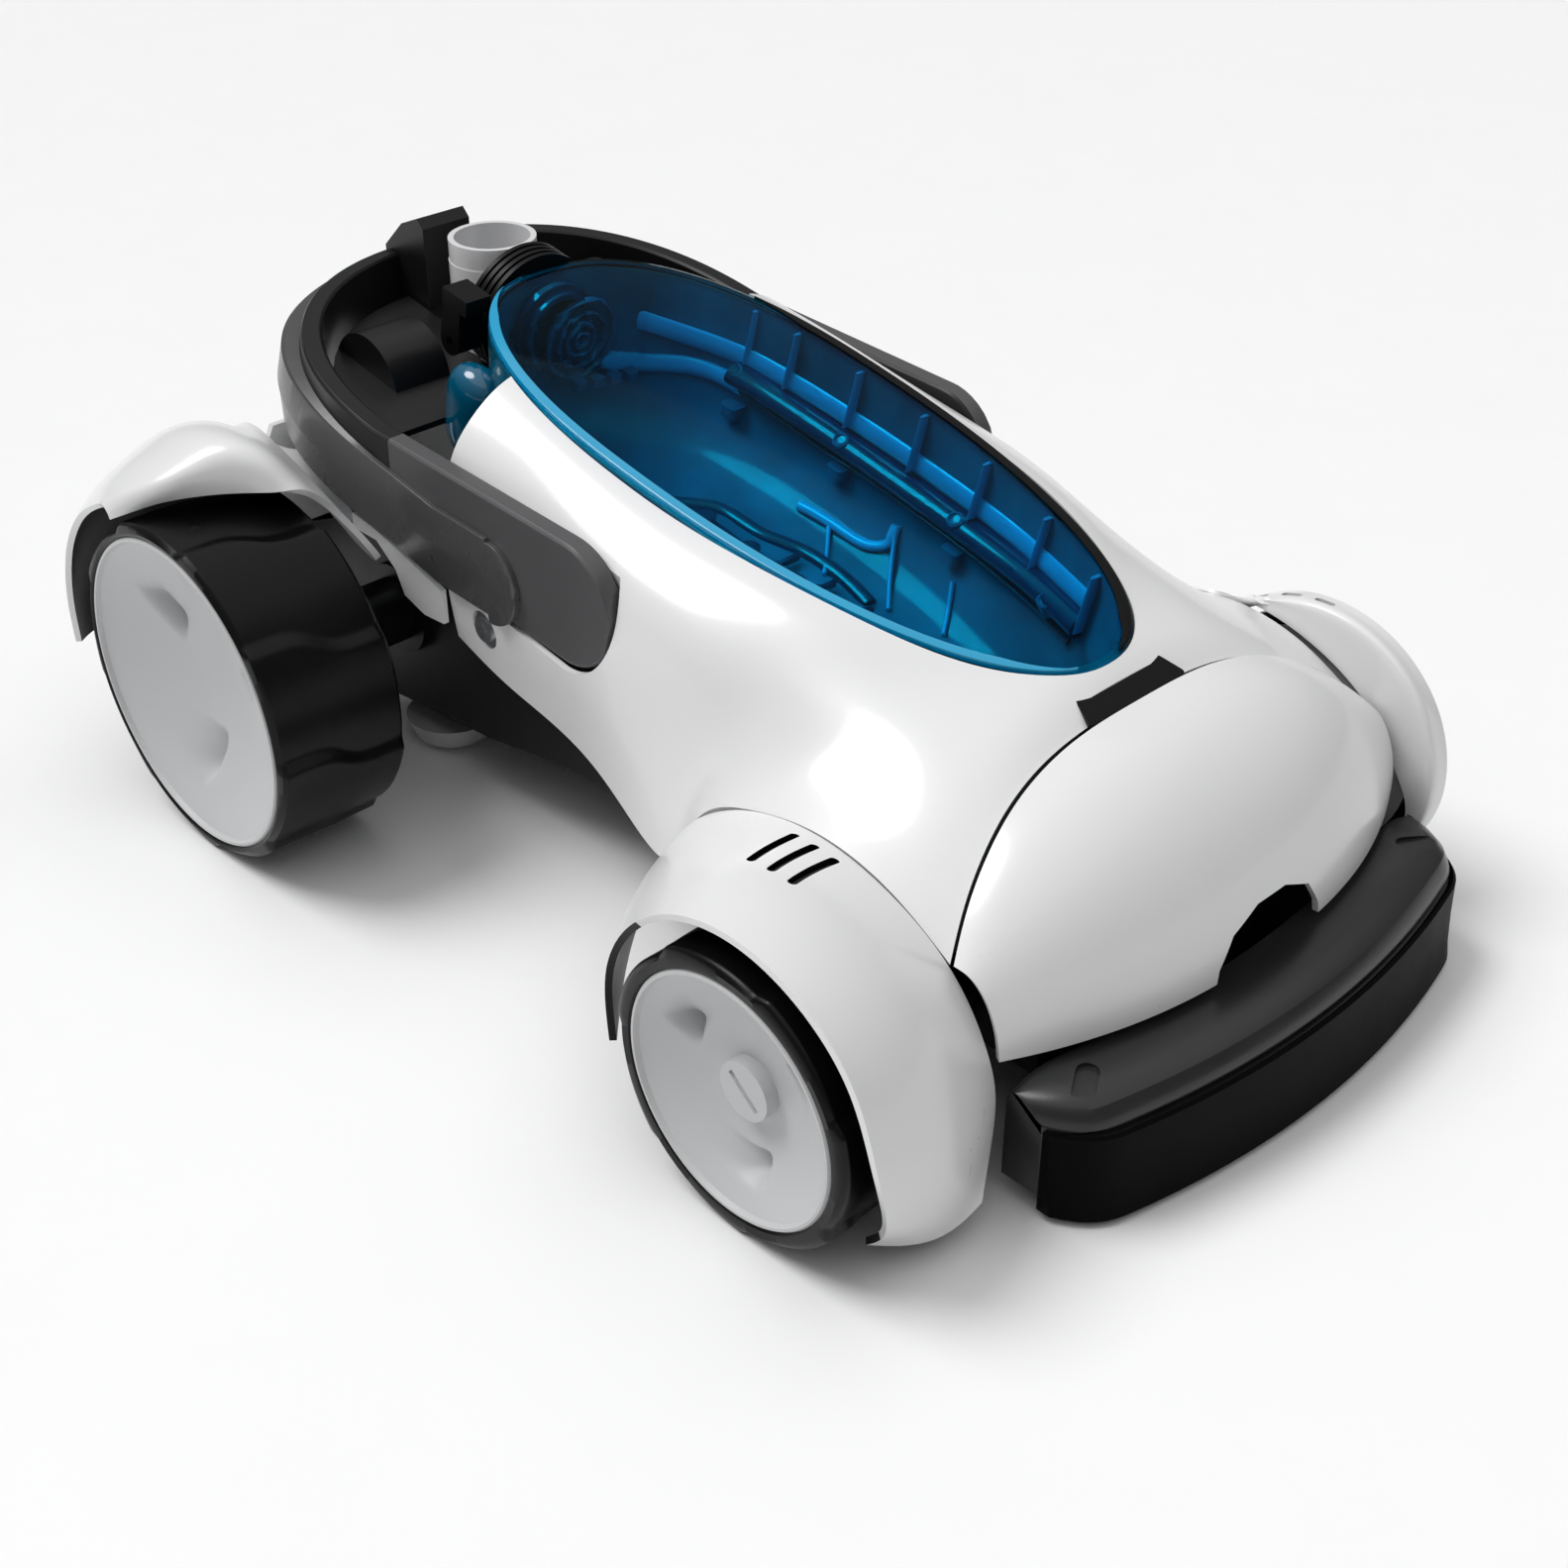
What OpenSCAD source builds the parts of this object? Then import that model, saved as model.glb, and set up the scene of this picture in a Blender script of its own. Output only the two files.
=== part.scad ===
/* [Wheels] */
// Radius of the rear tyres
rear_r = 72; // [70:0.5:74]
// Radius of the front tyres
front_r = 54.6; // [53:0.1:56]
// Distance between the rear and the front axle
wheelbase = 313.5; // [310:0.5:317]
// Width of the right rear tyre
rear_tyre_w = 58; // [50:1:58]
// Width of the left rear tyre
slim_rear_w = 21; // [18:1:21]
// Width of the right front tyre
front_tyre_w = 33; // [28:1:36]
// Width of the left front tyre
slim_front_w = 11; // [10:1:11]

/* [Canister] */
// Tilt of the canister rim, lower at the front
tilt = 11; // [10:0.5:12]
// Half width of the canister rim
rim_half_w = 70.4; // [69:0.1:70.4]
// Wall of the canister
canister_wall = 2.4; // [1.8:0.1:3]
// Height of the crown of the clear lid over its rim
crown = 8; // [6:0.5:9]

/* [Hose tube] */
// Outer diameter of the hose tube
tube_d = 38.1; // [36:0.1:39]
// Bore of the hose tube
tube_bore_d = 33; // [30:0.5:34]
// Height of the open end of the hose tube over the floor
tube_top = 201; // [198:1:206]

/* [Shell] */
// Wall of the white covers
shell_wall = 2.6; // [2:0.1:3]
// Gap between neighbouring covers
seam_gap = 1.6; // [1:0.1:1.6]

/* [Handle] */
// Thickness of the handle bar across the hand
bar_w = 9; // [8:0.5:9.5]
// Radius of the round front end of a handle arm
arm_r = 26; // [24:0.5:26]
// Radius of the handle pivot pins
pin_r = 6; // [5:0.5:7]

/* [Drive] */
// Tooth size (module) of the drive gears
gear_m = 1.5; // [1.5]
// Teeth of the gear on the rear axle
axle_teeth = 40; // [40]
// Teeth of the idler gear
idler_teeth = 36; // [36]
// Teeth of the turbine pinion
pinion_teeth = 15; // [15]
// Radius of the rear axle
axle_r = 6; // [5:0.5:6]
// Play between a turning shaft and its bearing, on the radius
running_fit = 0.08; // [0.05:0.01:0.1]

/* [Hidden] */
$fn = 64;

// Axle places. The origin is on the floor under the middle of the object.
rear_x = -wheelbase / 2 + 3.75;
front_x = wheelbase / 2 + 3.75;
rear_face_y = 200;
front_face_y = 194;
slim_rear_y = 136;
slim_front_y = 134.5;
front_axle_r = 5;

// Gear train: three gears in one line that drops towards the front
train_angle = -12;
axle_gear_r = gear_m * axle_teeth / 2;
idler_r = gear_m * idler_teeth / 2;
pinion_r = gear_m * pinion_teeth / 2;
train_dir = [cos(train_angle), 0, sin(train_angle)];
idler_at = [rear_x, 0, rear_r] + (axle_gear_r + idler_r) * train_dir;
turbine_at = idler_at + (idler_r + pinion_r) * train_dir;
gear_y = 80;
gear_w = 9;
shaft_r = 4;

// Belt drive: both axles turn at the speed that their wheels need
rear_pulley_r = 22;
front_pulley_r = rear_pulley_r * front_r / rear_r;
pulley_y = -72;
pulley_w = 10;
belt_t = 2.2;

// Canister rim outline: two half superellipses that meet at the widest place
rim_x = -30;
rim_rear = 135;
rim_front = 183;
rim_z = 164.2;
deck_drop = 46;
tube_x = -195.5;

// Side screws
screw_x = -77.5;
screw_z = 95.5;

// Handle pivot
pivot_x = -22;
pivot_z = 130;

// The middle plane of the body. The right wheels stand further out than the
// left ones, so it doesn't run through the middle of the whole object.
body_y = 31.7;
module in_frame() {
  translate([0, body_y, 0]) children();
}

// ---------- curves and skins ----------
function end_safe(points, i) = points[max(0, min(len(points) - 1, i))];
function smooth(a, b, c, d, t) =
  0.5 * (2 * b + (c - a) * t + (2 * a - 5 * b + 4 * c - d) * t * t
  + (3 * b - a - 3 * c + d) * t * t * t);
function curve(points, s) =
  let (i = min(floor(s), len(points) - 2))
  smooth(end_safe(points, i - 1), points[i], points[i + 1],
    end_safe(points, i + 2), s - i);
function refine(points, n) =
  [for (k = [0:n]) curve(points, k / n * (len(points) - 1))];
function turned(grid) =
  [for (j = [0:len(grid[0]) - 1]) [for (row = grid) row[j]]];
function refine_grid(grid, nu, nv) =
  turned([for (column = turned([for (row = grid) refine(row, nv)])) refine(column, nu)]);
function mirrored(p) = [p[0], -p[1], p[2]];
function both_halves(row) =
  concat([for (k = [len(row) - 1:-1:1]) mirrored(row[k])], row);
function unit(v) = v / max(norm(v), 0.0001);
function grid_normal(grid, i, j) =
  let (
    rows = len(grid) - 1, columns = len(grid[0]) - 1,
    du = grid[min(i + 1, rows)][j] - grid[max(i - 1, 0)][j],
    dv = grid[i][min(j + 1, columns)] - grid[i][max(j - 1, 0)]
  ) unit(cross(du, dv));
function sunk(grid, depth) =
  [for (i = [0:len(grid) - 1]) [for (j = [0:len(grid[0]) - 1])
    grid[i][j] - depth * grid_normal(grid, i, j)]];
function flat(grid) = [for (row = grid) each row];
function quad(a, b, c, d) = [[a, b, c], [a, c, d]];

// A plate that follows a grid of points. A positive wall lies on the side
// that cross(along rows, across rows) points away from.
module plate(grid, wall) {
  rows = len(grid);
  columns = len(grid[0]);
  size = rows * columns;
  tops = [for (i = [0:rows - 2]) for (j = [0:columns - 2])
    each quad(i * columns + j, i * columns + j + 1,
      (i + 1) * columns + j + 1, (i + 1) * columns + j)];
  backs = [for (f = tops) [f[2] + size, f[1] + size, f[0] + size]];
  edge = concat(
    [for (j = [0:columns - 2]) j],
    [for (i = [0:rows - 2]) i * columns + columns - 1],
    [for (j = [columns - 1:-1:1]) (rows - 1) * columns + j],
    [for (i = [rows - 1:-1:1]) i * columns]
  );
  sides = [for (k = [0:len(edge) - 1])
    let (a = edge[k], b = edge[(k + 1) % len(edge)])
    each quad(b, a, a + size, b + size)];
  polyhedron(concat(flat(grid), flat(sunk(grid, wall))), concat(tops, backs, sides));
}

// A solid through closed rings of points, one ring after another
module skin(rings) {
  count = len(rings[0]);
  last = len(rings) - 1;
  walls = [for (i = [0:last - 1]) for (j = [0:count - 1])
    let (k = (j + 1) % count)
    each quad(i * count + k, i * count + j, (i + 1) * count + j, (i + 1) * count + k)];
  start = [for (j = [0:count - 1]) j];
  finish = [for (j = [count - 1:-1:0]) last * count + j];
  polyhedron(flat(rings), concat(walls, [start], [finish]));
}

// Lies along the canister rim: X forward and down, Z out of the window
module on_rim() {
  translate([0, 0, rim_z]) rotate([0, tilt, 0]) children();
}

// Puts a shape drawn in X and Z, centred on a place, from side to side
module across(at, low_y, high_y) {
  translate([at[0], high_y, at[2]]) rotate([90, 0, 0])
    linear_extrude(high_y - low_y) children();
}

module rod(x, z, low_y, high_y, r) {
  translate([x, low_y, z]) rotate([-90, 0, 0]) cylinder(h = high_y - low_y, r = r);
}

function rim_point(angle, grow) =
  let (
    front = cos(angle) > 0,
    q = front ? 2.2 : 2.4,
    reach = (front ? rim_front : rim_rear) + grow,
    c = pow(abs(cos(angle)), 2 / q), s = pow(abs(sin(angle)), 2 / q)
  ) [rim_x + sign(cos(angle)) * reach * c, sign(sin(angle)) * (rim_half_w + grow) * s];
function rim_outline(grow, count) =
  [for (k = [0:count - 1]) rim_point(360 * k / count, grow)];

// ---------- white covers ----------
// Half sections of the body from the crown to the lower edge, rear to front
body_half = [
  [[-102, 0, 189], [-102, 35, 188], [-102, 63, 184], [-102, 80, 176],
    [-102, 94, 162], [-102, 100, 142], [-102, 103, 112], [-102, 100, 81]],
  [[-63, 0, 183], [-63, 38, 181], [-63, 70, 174.5], [-63, 84, 167],
    [-63, 96, 154], [-63, 103, 135], [-63, 106, 108], [-63, 102, 72]],
  [[-11, 0, 174], [-11, 38, 171], [-11, 71, 163.5], [-11, 85, 157],
    [-11, 97, 147], [-11, 105, 130], [-11, 109, 104], [-11, 105, 62]],
  [[33, 0, 166], [33, 37, 163.5], [33, 67, 157], [34, 81, 151],
    [35, 94, 141], [37, 103, 124], [39.5, 109.5, 92], [42, 117, 52]],
  [[72, 0, 157], [72, 34, 155], [72, 61, 150.5], [70, 76, 144.5],
    [68, 89, 134], [66, 98.5, 120], [64, 107.5, 100], [62.3, 117, 79.3]],
  [[106, 0, 149], [106, 28, 147.5], [106, 50, 143], [103, 67, 137.5],
    [100, 83, 129], [96.5, 96, 117.5], [93, 107.5, 106], [90.5, 117, 97.3]],
  [[134, 0, 140.5], [134, 20, 139.5], [134, 38, 136.5], [131.5, 58, 132.5],
    [129, 77, 125.5], [127, 93, 116.5], [125, 106.5, 109], [123.4, 117, 104]],
  [[151, 0, 134], [151, 22, 133], [151.5, 42, 130.5], [152.5, 61, 126],
    [154, 79, 118.5], [155, 94.5, 110.5], [156, 107, 103.5], [156.5, 117, 98.5]],
  [for (y = [0, 25, 45, 62, 79, 95, 107, 117]) hood_edge(y)]
];
// The joint line between the shell and the nose hood
function hood_edge(y) =
  let (z = 125 - 42 * pow(abs(y) / 117, 3)) [163.5 + 0.524 * (125 - z), y, z];

module arm_outline(grow) {
  circle(r = arm_r + grow);
  polygon([[0, arm_r + grow], [0, -arm_r - grow], [-40, -arm_r - grow],
    [-78, -25 - grow], [-128, -14 - grow], [-128, 34 + grow], [-80, 31 + grow]]);
}

module top_shell() {
  in_frame() color("white") difference() {
    plate(refine_grid([for (row = body_half) both_halves(row)], 24, 42), shell_wall);
    on_rim() translate([0, 0, -60]) linear_extrude(100) polygon(rim_outline(1.1, 96));
    for (side = [-1, 1]) {
      across([pivot_x, 0, pivot_z], side > 0 ? 96 : -130, side > 0 ? 130 : -96)
        arm_outline(1.2);
      rod(screw_x, screw_z, side > 0 ? 90 : -120, side > 0 ? 120 : -90, 8.2);
    }
    // Finger notch over the nose hood
    translate([154, -26, 100]) cube([14, 52, 40]);
  }
}

// Half sections of the nose hood, from the joint down to the bumper
function mix(a, b, t) = a + (b - a) * t;
function hood_low(y) = [230 - 26 * pow(abs(y) / 113, 2.3), y, 52.6];
hood_half = [
  for (y = [0, 20, 40, 60, 78, 94, 106, 116.4])
    let (a = hood_edge(y) + [1.2, 0, -0.6], b = hood_low(y * 0.97))
    [for (q = [0:15:90])
      [mix(a[0], b[0], sin(q)), mix(a[1], b[1], q / 90), mix(b[2], a[2], cos(q))]]
];

module nose_hood() {
  in_frame() color("white") difference() {
    plate(refine_grid(turned([for (k = [len(hood_half) - 1:-1:1])
      [for (p = hood_half[k]) mirrored(p)], each hood_half]), 20, 30), shell_wall);
    translate([215, -27, 40]) cube([40, 54, 34]);
  }
}

// Wheel arch cover: from the seam on the body to the lip round the tyre
fairing_seam = [
  [42, 117, 52], [62.3, 117, 79.3], [90.5, 117, 97.3], [123.4, 117, 104],
  [156.5, 117, 98.5], [185.5, 117, 83], [202, 117, 62], [210, 118.5, 44],
  [214, 124, 27], [220, 134, 13]
];
lip_start = 193;
lip_end = -44;
function lip_angle(i) = lip_start + (lip_end - lip_start) * i / 9;
function lip_point(i, r, y) =
  [front_x + r * cos(lip_angle(i)), y, max(13, front_r + r * sin(lip_angle(i)))];
// The right wheel stands far out, so its arch is broad
broad_grid = [
  for (i = [0:9])
    let (
      a = lip_angle(i), seam = fairing_seam[i] + [0, seam_gap, 0],
      lip = lip_point(i, 64.5, i < 8 ? 190 : 190 - (i - 7) * 7)
    )
    [for (j = [0:4]) mix(seam, lip, j / 4) + 6 * sin(45 * j) * [cos(a), 0, sin(a)]]
];
module fairing_right() {
  in_frame() color("white") scale([1, -1, 1]) difference() {
    plate(refine_grid(broad_grid, 27, 8), shell_wall);
    for (k = [0:2])
      translate([126.5 + 9.5 * k, 140, 106]) rotate([0, 0, -17])
        cube([3, 31, 40], center = true);
  }
}
// The left wheel lies close to the body, under a narrow arch
narrow_seam = [for (i = [0:9]) i < 8 ? fairing_seam[i] : [[208, 118, 28], [205, 118, 14]][i - 8]];
narrow_r = 58.6;
narrow_grid = [
  for (i = [0:9])
    let (seam = narrow_seam[i] + [0, 3, 0], edge = lip_point(i, narrow_r, 121))
    [seam, mix(seam, edge, 0.5), edge, lip_point(i, narrow_r + 0.5, 126.5),
      lip_point(i, narrow_r, 132)]
];
module fairing_left() {
  in_frame() color("white") difference() {
    plate(refine_grid(narrow_grid, 27, 8), 1.6);
    for (k = [0:2])
      translate([128 + 15 * k, 126.5, 110]) cube([9, 3, 40], center = true);
  }
}

// Rear fender rows: y, crease x and z, lip x and z (from the axle), rear radius
fender_rows = [
  [199, -36, 70, -33, 67, 85], [194, -26, 77, -26, 72, 89],
  [185, -14, 84, -16, 77, 94], [172, -8, 90, -5, 78.5, 99],
  [160, 0, 93, 6, 79, 102], [148, 2, 88, 18, 78, 103],
  [136, -24, 82, 14, 69, 101], [124, -46, 74, 14, 54, 99],
  [113, -64, 61, 16, 35, 94], [105, -60, 54, -16, 33, 89], [96, -56, 50, -22, 31, 89]
];
fender_low = 187;
function fender_row(row) =
  let (
    crease_r = norm([row[1], row[2]]), crease_a = atan2(row[2], row[1]),
    bend = [for (k = [0:6])
      let (t = k / 6, a = fender_low + (crease_a - fender_low) * t,
        r = mix(row[5], crease_r, pow(t, 2.2)))
      [rear_x + r * cos(a), row[0], rear_r + r * sin(a)]]
  ) concat(bend, [[rear_x + row[3], row[0], rear_r + row[4]]]);
module fender_right() {
  in_frame() color("white") scale([1, -1, 1])
    plate(refine_grid([for (k = [len(fender_rows) - 1:-1:0]) fender_row(fender_rows[k])],
      24, 21), shell_wall);
}
// Strip of a round guard over the rear axle, between two angles
module guard_strip(r, low_y, high_y, start, finish) {
  across([rear_x, 0, rear_r], low_y, high_y) polygon(concat(
    [for (a = [start:3:finish]) r * [cos(a), sin(a)]],
    [for (a = [finish:-3:start]) (r - shell_wall) * [cos(a), sin(a)]]));
}
// The left fender is a slim guard close behind the narrow wheel
module fender_left() {
  in_frame() color("white") {
    guard_strip(78, 113, 138, 114, 186);
    guard_strip(78, 95, 113.5, 150, 186);
  }
}

// Strip under the arm of the handle, behind the shell
module side_trim(side) {
  scale([1, side, 1]) across([0, 0, 0], 103, 105.5)
    polygon([[-163, 110], [-147, 110], [-135, 101], [-130, 91], [-117, 87], [-103.5, 88],
      [-103.5, 103], [-135, 112], [-150, 115.5], [-163, 117]]);
}
module side_trim_right() { in_frame() color("white") side_trim(-1); }
module side_trim_left() { in_frame() color("white") side_trim(1); }

// Cover across the back, under the handle, between the fenders
module rear_cowl() {
  in_frame() color("white") difference() {
    rod(rear_x, rear_r, -94, 94, 104);
    rod(rear_x, rear_r, -95, 95, 104 - shell_wall);
    translate([rear_x - 83, -150, -60]) cube([300, 300, 400]);
    translate([-400, -150, -100]) cube([400, 300, 165]);
    translate([-400, -150, 128]) cube([400, 300, 200]);
  }
}

// ---------- chassis ----------
pan_w = 92;
pan_wall = 3;
pan_stations = [[-235, 60, 80], [-200, 24, 96], [-165, 23, 100], [-98, 30, 92],
  [-44, 40, 88], [30, 44, 86], [110, 36, 74], [205, 32, 48]];
function pan_ring(s, in) =
  let (w = pan_w - in, low = s[0] < -220 ? 45 : 14)
  [[s[0], -w, s[2]], [s[0], -w, s[1] + in], [s[0], -w + 38, low + in],
    [s[0], w - 38, low + in], [s[0], w, s[1] + in], [s[0], w, s[2]]];
module belly_pan() {
  in_frame() color("dimgray") difference() {
    skin([for (s = pan_stations) pan_ring(s, 0)]);
    skin([for (k = [0:len(pan_stations) - 1])
      let (s = pan_stations[k], in = pan_wall,
        x = s[0] + (k == 0 ? in : k == len(pan_stations) - 1 ? -in : 0))
      pan_ring([x, s[1], s[2] + 5], in)]);
    rod(rear_x, rear_r, -120, 120, axle_r + 3.2);
    rod(front_x, front_r, -120, 120, 8.2);
    translate([turbine_at[0] + 18, 0, 0]) cylinder(h = 30, r = 24.6);
  }
}

// Axle sleeves: a flanged tube on each side, from the belly pan to the wheel
module sleeve(x, z, shaft, end_y) {
  difference() {
    union() {
      rod(x, z, 86, 94, shaft + 3);
      rod(x, z, 93, 96, shaft + 14);
      rod(x, z, 95, end_y, shaft + 8);
    }
    rod(x, z, 80, end_y + 10, shaft + running_fit);
  }
}
module rear_bearings() {
  in_frame() color("black") {
    scale([1, -1, 1]) sleeve(rear_x, rear_r, axle_r, 138);
    sleeve(rear_x, rear_r, axle_r, 113);
  }
}
module front_bearings() {
  in_frame() color("black") {
    scale([1, -1, 1]) sleeve(front_x, front_r, front_axle_r, 156);
    sleeve(front_x, front_r, front_axle_r, 120);
  }
}

module belly_pads() {
  in_frame() color("gray") for (side = [-1, 1])
    translate([rear_x + 3, side * 74, 4]) cylinder(h = 9.5, r1 = 17, r2 = 20.5);
}

// Black tray inside the handle, with a barrel cover on each side
module rear_deck() {
  inset = bar_w + 2;
  in_frame() color("black") {
    difference() {
      on_rim() translate([0, 0, -deck_drop - 3]) linear_extrude(3)
        polygon([for (a = [90:6:270])
          [-150 - (100 - inset) * pow(abs(cos(a)), 2 / 2.3),
            (103 - inset) * pow(abs(sin(a)), 2 / 2.3) * sign(sin(a))]]);
      on_rim() translate([0, 0, -100]) linear_extrude(120)
        polygon(rim_outline(-1.5, 96));
      translate([tube_x, 0, 100]) cylinder(h = 120, r = tube_d / 2 + 0.7);
      on_rim() translate([-181, 0, -collar_drop]) rotate([0, 90, 0])
        cylinder(h = 20, r = collar_r + 0.5);
      translate([-300, -latch_half_w - 1, 100]) cube([80, 2 * latch_half_w + 2, 100]);
    }
    for (side = [-1, 1]) intersection() {
      rod(-203, 150, side > 0 ? 38 : -66, side > 0 ? 66 : -38, 22);
      on_rim() translate([-300, -100, -deck_drop - 0.01]) cube([300, 200, 60]);
    }
  }
}

// Bracket inside the shell that carries a pivot pin of the handle
module handle_pocket(side) {
  inner = 89;
  scale([1, side, 1]) {
    intersection() {
      across([pivot_x, 0, pivot_z], inner, inner + 3) arm_outline(-3);
      translate([-100, 80, 90]) cube([140, 30, 54]);
    }
    rod(pivot_x, pivot_z, inner, 105, pin_r);
  }
}
module handle_pocket_right() { in_frame() color("black") handle_pocket(-1); }
module handle_pocket_left() { in_frame() color("black") handle_pocket(1); }

module side_screws() {
  in_frame() color("silver") for (side = [-1, 1]) scale([1, side, 1]) difference() {
    union() {
      rod(screw_x, screw_z, 93, 103, 7.4);
      rod(screw_x, screw_z, 103, 105, 5.2);
    }
    translate([screw_x, 105, screw_z]) cube([7, 3, 1.4], center = true);
    translate([screw_x, 105, screw_z]) cube([1.4, 3, 7], center = true);
  }
}

// Front bumper: plan arcs, full at the middle and cut back at the ends
function bumper_front(y) = 257.5 - 17 * pow(abs(y) / 113, 2);
function bumper_ring(y) =
  let (f = bumper_front(y), b = 209 + 14 * (1 - pow(abs(y) / 116, 2)),
    e = abs(y) > 110 ? 5 : 0)
  [[b, y, 9], [b, y, 50 - e], [b + 4, y, 52 - e], [f - 9, y, 50 - e],
    [f - 4 - e / 2, y, 48 - e], [f - 1, y, 44 - e], [f, y, 38], [f, y, 9]];
module bumper() {
  in_frame() color("black") difference() {
    skin([for (y = [-116, -112, -106, -90, -70, -50, -25, 0, 25, 50, 70, 90, 106, 112, 116])
      bumper_ring(y)]);
    for (side = [-1, 1]) translate([230, side * 98, 48.5]) rotate([0, 0, side * 58]) {
      translate([-5, -4, 0]) cube([10, 8, 10]);
      for (end = [-5, 5]) translate([end, 0, 0]) cylinder(h = 10, r = 4);
    }
  }
}
function blade_ring(y) =
  let (f = bumper_front(y) + 0.3)
  [[f, y, 3], [f, y, 38], [f + 2, y, 39.5], [f + 4, y, 38], [f + 5.4, y, 3]];
module scrubber_blade() {
  in_frame() color([0.1, 0.1, 0.1])
    skin([for (y = [-116:14.5:116]) blade_ring(y)]);
}

// ---------- water path ----------
collar_drop = 24;
collar_r = 28.5;
// Below this height the tube is 0.3 mm larger all round
cuff_z = 191.6;
// Room that the cuff of the hose needs round the tube
cuff_clear_r = 19.6;
stub_z = rim_z - tube_x * tan(tilt) - collar_drop / cos(tilt);
module hose_tube() {
  in_frame() color("gainsboro") difference() {
    union() {
      translate([tube_x, 0, 141]) cylinder(h = cuff_z - 141, d = tube_d + 0.6);
      translate([tube_x, 0, cuff_z]) cylinder(h = tube_top - cuff_z, d = tube_d);
      translate([tube_x, 0, stub_z]) rotate([0, 90 + tilt, 0]) cylinder(h = 26, r = 17);
    }
    translate([tube_x, 0, 146]) cylinder(h = 90, d = tube_bore_d);
    translate([tube_x, 0, stub_z]) rotate([0, 90 + tilt, 0]) cylinder(h = 40, r = 14);
  }
}

module tube_collar() {
  in_frame() color("black") difference() {
    on_rim() translate([-179.5, 0, -collar_drop]) rotate([0, 90, 0]) difference() {
      union() {
        cylinder(h = 13.5, r = 25);
        for (k = [0:3]) translate([0, 0, 0.6 + 3.4 * k]) cylinder(h = 2, r = collar_r);
      }
      translate([0, 0, -1]) cylinder(h = 20, r = 17.2);
    }
    translate([tube_x, 0, 130]) cylinder(h = 90, r = cuff_clear_r);
  }
}

housing_r = 33;
module turbine_housing() {
  in_frame() color("slategray") difference() {
    union() {
      rod(turbine_at[0], turbine_at[2], -32, 32, housing_r);
      translate([turbine_at[0], 0, 60]) cylinder(h = 30, r = 22);
      for (y = [-38, 32]) rod(turbine_at[0], turbine_at[2], y, y + 6, 12);
      translate([idler_at[0] - 6, 32, idler_at[2] - 6]) cube([40, 6, 12]);
      rod(idler_at[0], idler_at[2], 32, gear_y - gear_w - 1, 6.5);
    }
    rod(turbine_at[0], turbine_at[2], -29, 29, housing_r - 3);
    translate([turbine_at[0], 0, 60]) cylinder(h = 40, r = 18);
    translate([turbine_at[0] + 18, 0, 0]) cylinder(h = 48, r = 21.4);
    rod(turbine_at[0], turbine_at[2], -50, 50, shaft_r + running_fit);
    rod(idler_at[0], idler_at[2], 30, gear_y, shaft_r + running_fit);
  }
}

module intake_throat() {
  in_frame() color("slategray") translate([turbine_at[0] + 18, 0, 8]) difference() {
    union() {
      cylinder(h = 14, r = 24);
      cylinder(h = 5.5, r = 30);
    }
    translate([0, 0, -1]) cylinder(h = 30, r = 21.4);
    translate([-18, 0, turbine_at[2] - 8]) rotate([90, 0, 0])
      cylinder(h = 80, r = housing_r + 0.3, center = true);
  }
}

// ---------- canister ----------
clip_x = -167;
clip_n = -23;
// Rings of the bowl: grow of the rim outline and depth under the rim
bowl_profile = [[-0.2, -3], [-0.6, -12], [-2, -30], [-5, -50], [-11, -64],
  [-21, -73], [-34, -77]];
function bowl_rings(in, lift) =
  [for (p = bowl_profile) [for (q = rim_outline(p[0] - in, 48)) [q[0], q[1], p[1] + lift]]];
module canister_bowl() {
  wall = canister_wall;
  top = [for (q = rim_outline(-0.2 - wall, 48)) [q[0], q[1], 2]];
  in_frame() color([0.05, 0.45, 0.8, 0.4]) on_rim() difference() {
    skin(bowl_up(bowl_rings(0, 0)));
    skin(bowl_up(concat([top], bowl_rings(wall, wall))));
    translate([-170, 0, -collar_drop]) rotate([0, 90, 0]) cylinder(h = 30, r = 17.2);
    rotate([0, -tilt, 0]) translate([turbine_at[0], 0, -90]) cylinder(h = 40, r = 17.5);
  }
  in_frame() color([0.05, 0.45, 0.8, 0.4]) on_rim() {
    translate([-172, -49, -30]) cube([37, 3, 14]);
    translate([clip_x, -47, clip_n]) rotate([-90, 0, 0]) cylinder(h = 14, r = 2);
  }
}
function bowl_up(rings) = [for (k = [len(rings) - 1:-1:0]) rings[k]];

module outlet_ring() {
  in_frame() color("navy") on_rim() translate([-163, 0, -collar_drop]) rotate([0, 90, 0])
    difference() {
      union() {
        cylinder(h = 7, r = 17);
        translate([0, 0, 6.2]) cylinder(h = 3, r = 20);
        translate([0, 0, 9]) cylinder(h = 4, r = 17.5);
      }
      translate([0, 0, -1]) cylinder(h = 20, r = 15);
    }
}

module canister_rail() {
  in_frame() color("steelblue") on_rim() {
    translate([-60, -3, -70.2]) cube([150, 6, 9]);
    for (x = [-50:27:85]) translate([x, 0, -61.2]) cylinder(h = 3, r = 4.2);
    for (x = [-20:22:80]) translate([x, -26, -72.6]) cube([2, 52, 3]);
  }
}

module debris_screen() {
  in_frame() color("lightsteelblue") on_rim() translate([-139, 0, -42]) difference() {
    translate([0, -38, 0]) cube([2.4, 76, 36]);
    for (y = [-32:8:32]) for (z = [4:8:30])
      translate([-1, y - 2.4, z]) cube([5, 4.8, 4.8]);
  }
}

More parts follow.
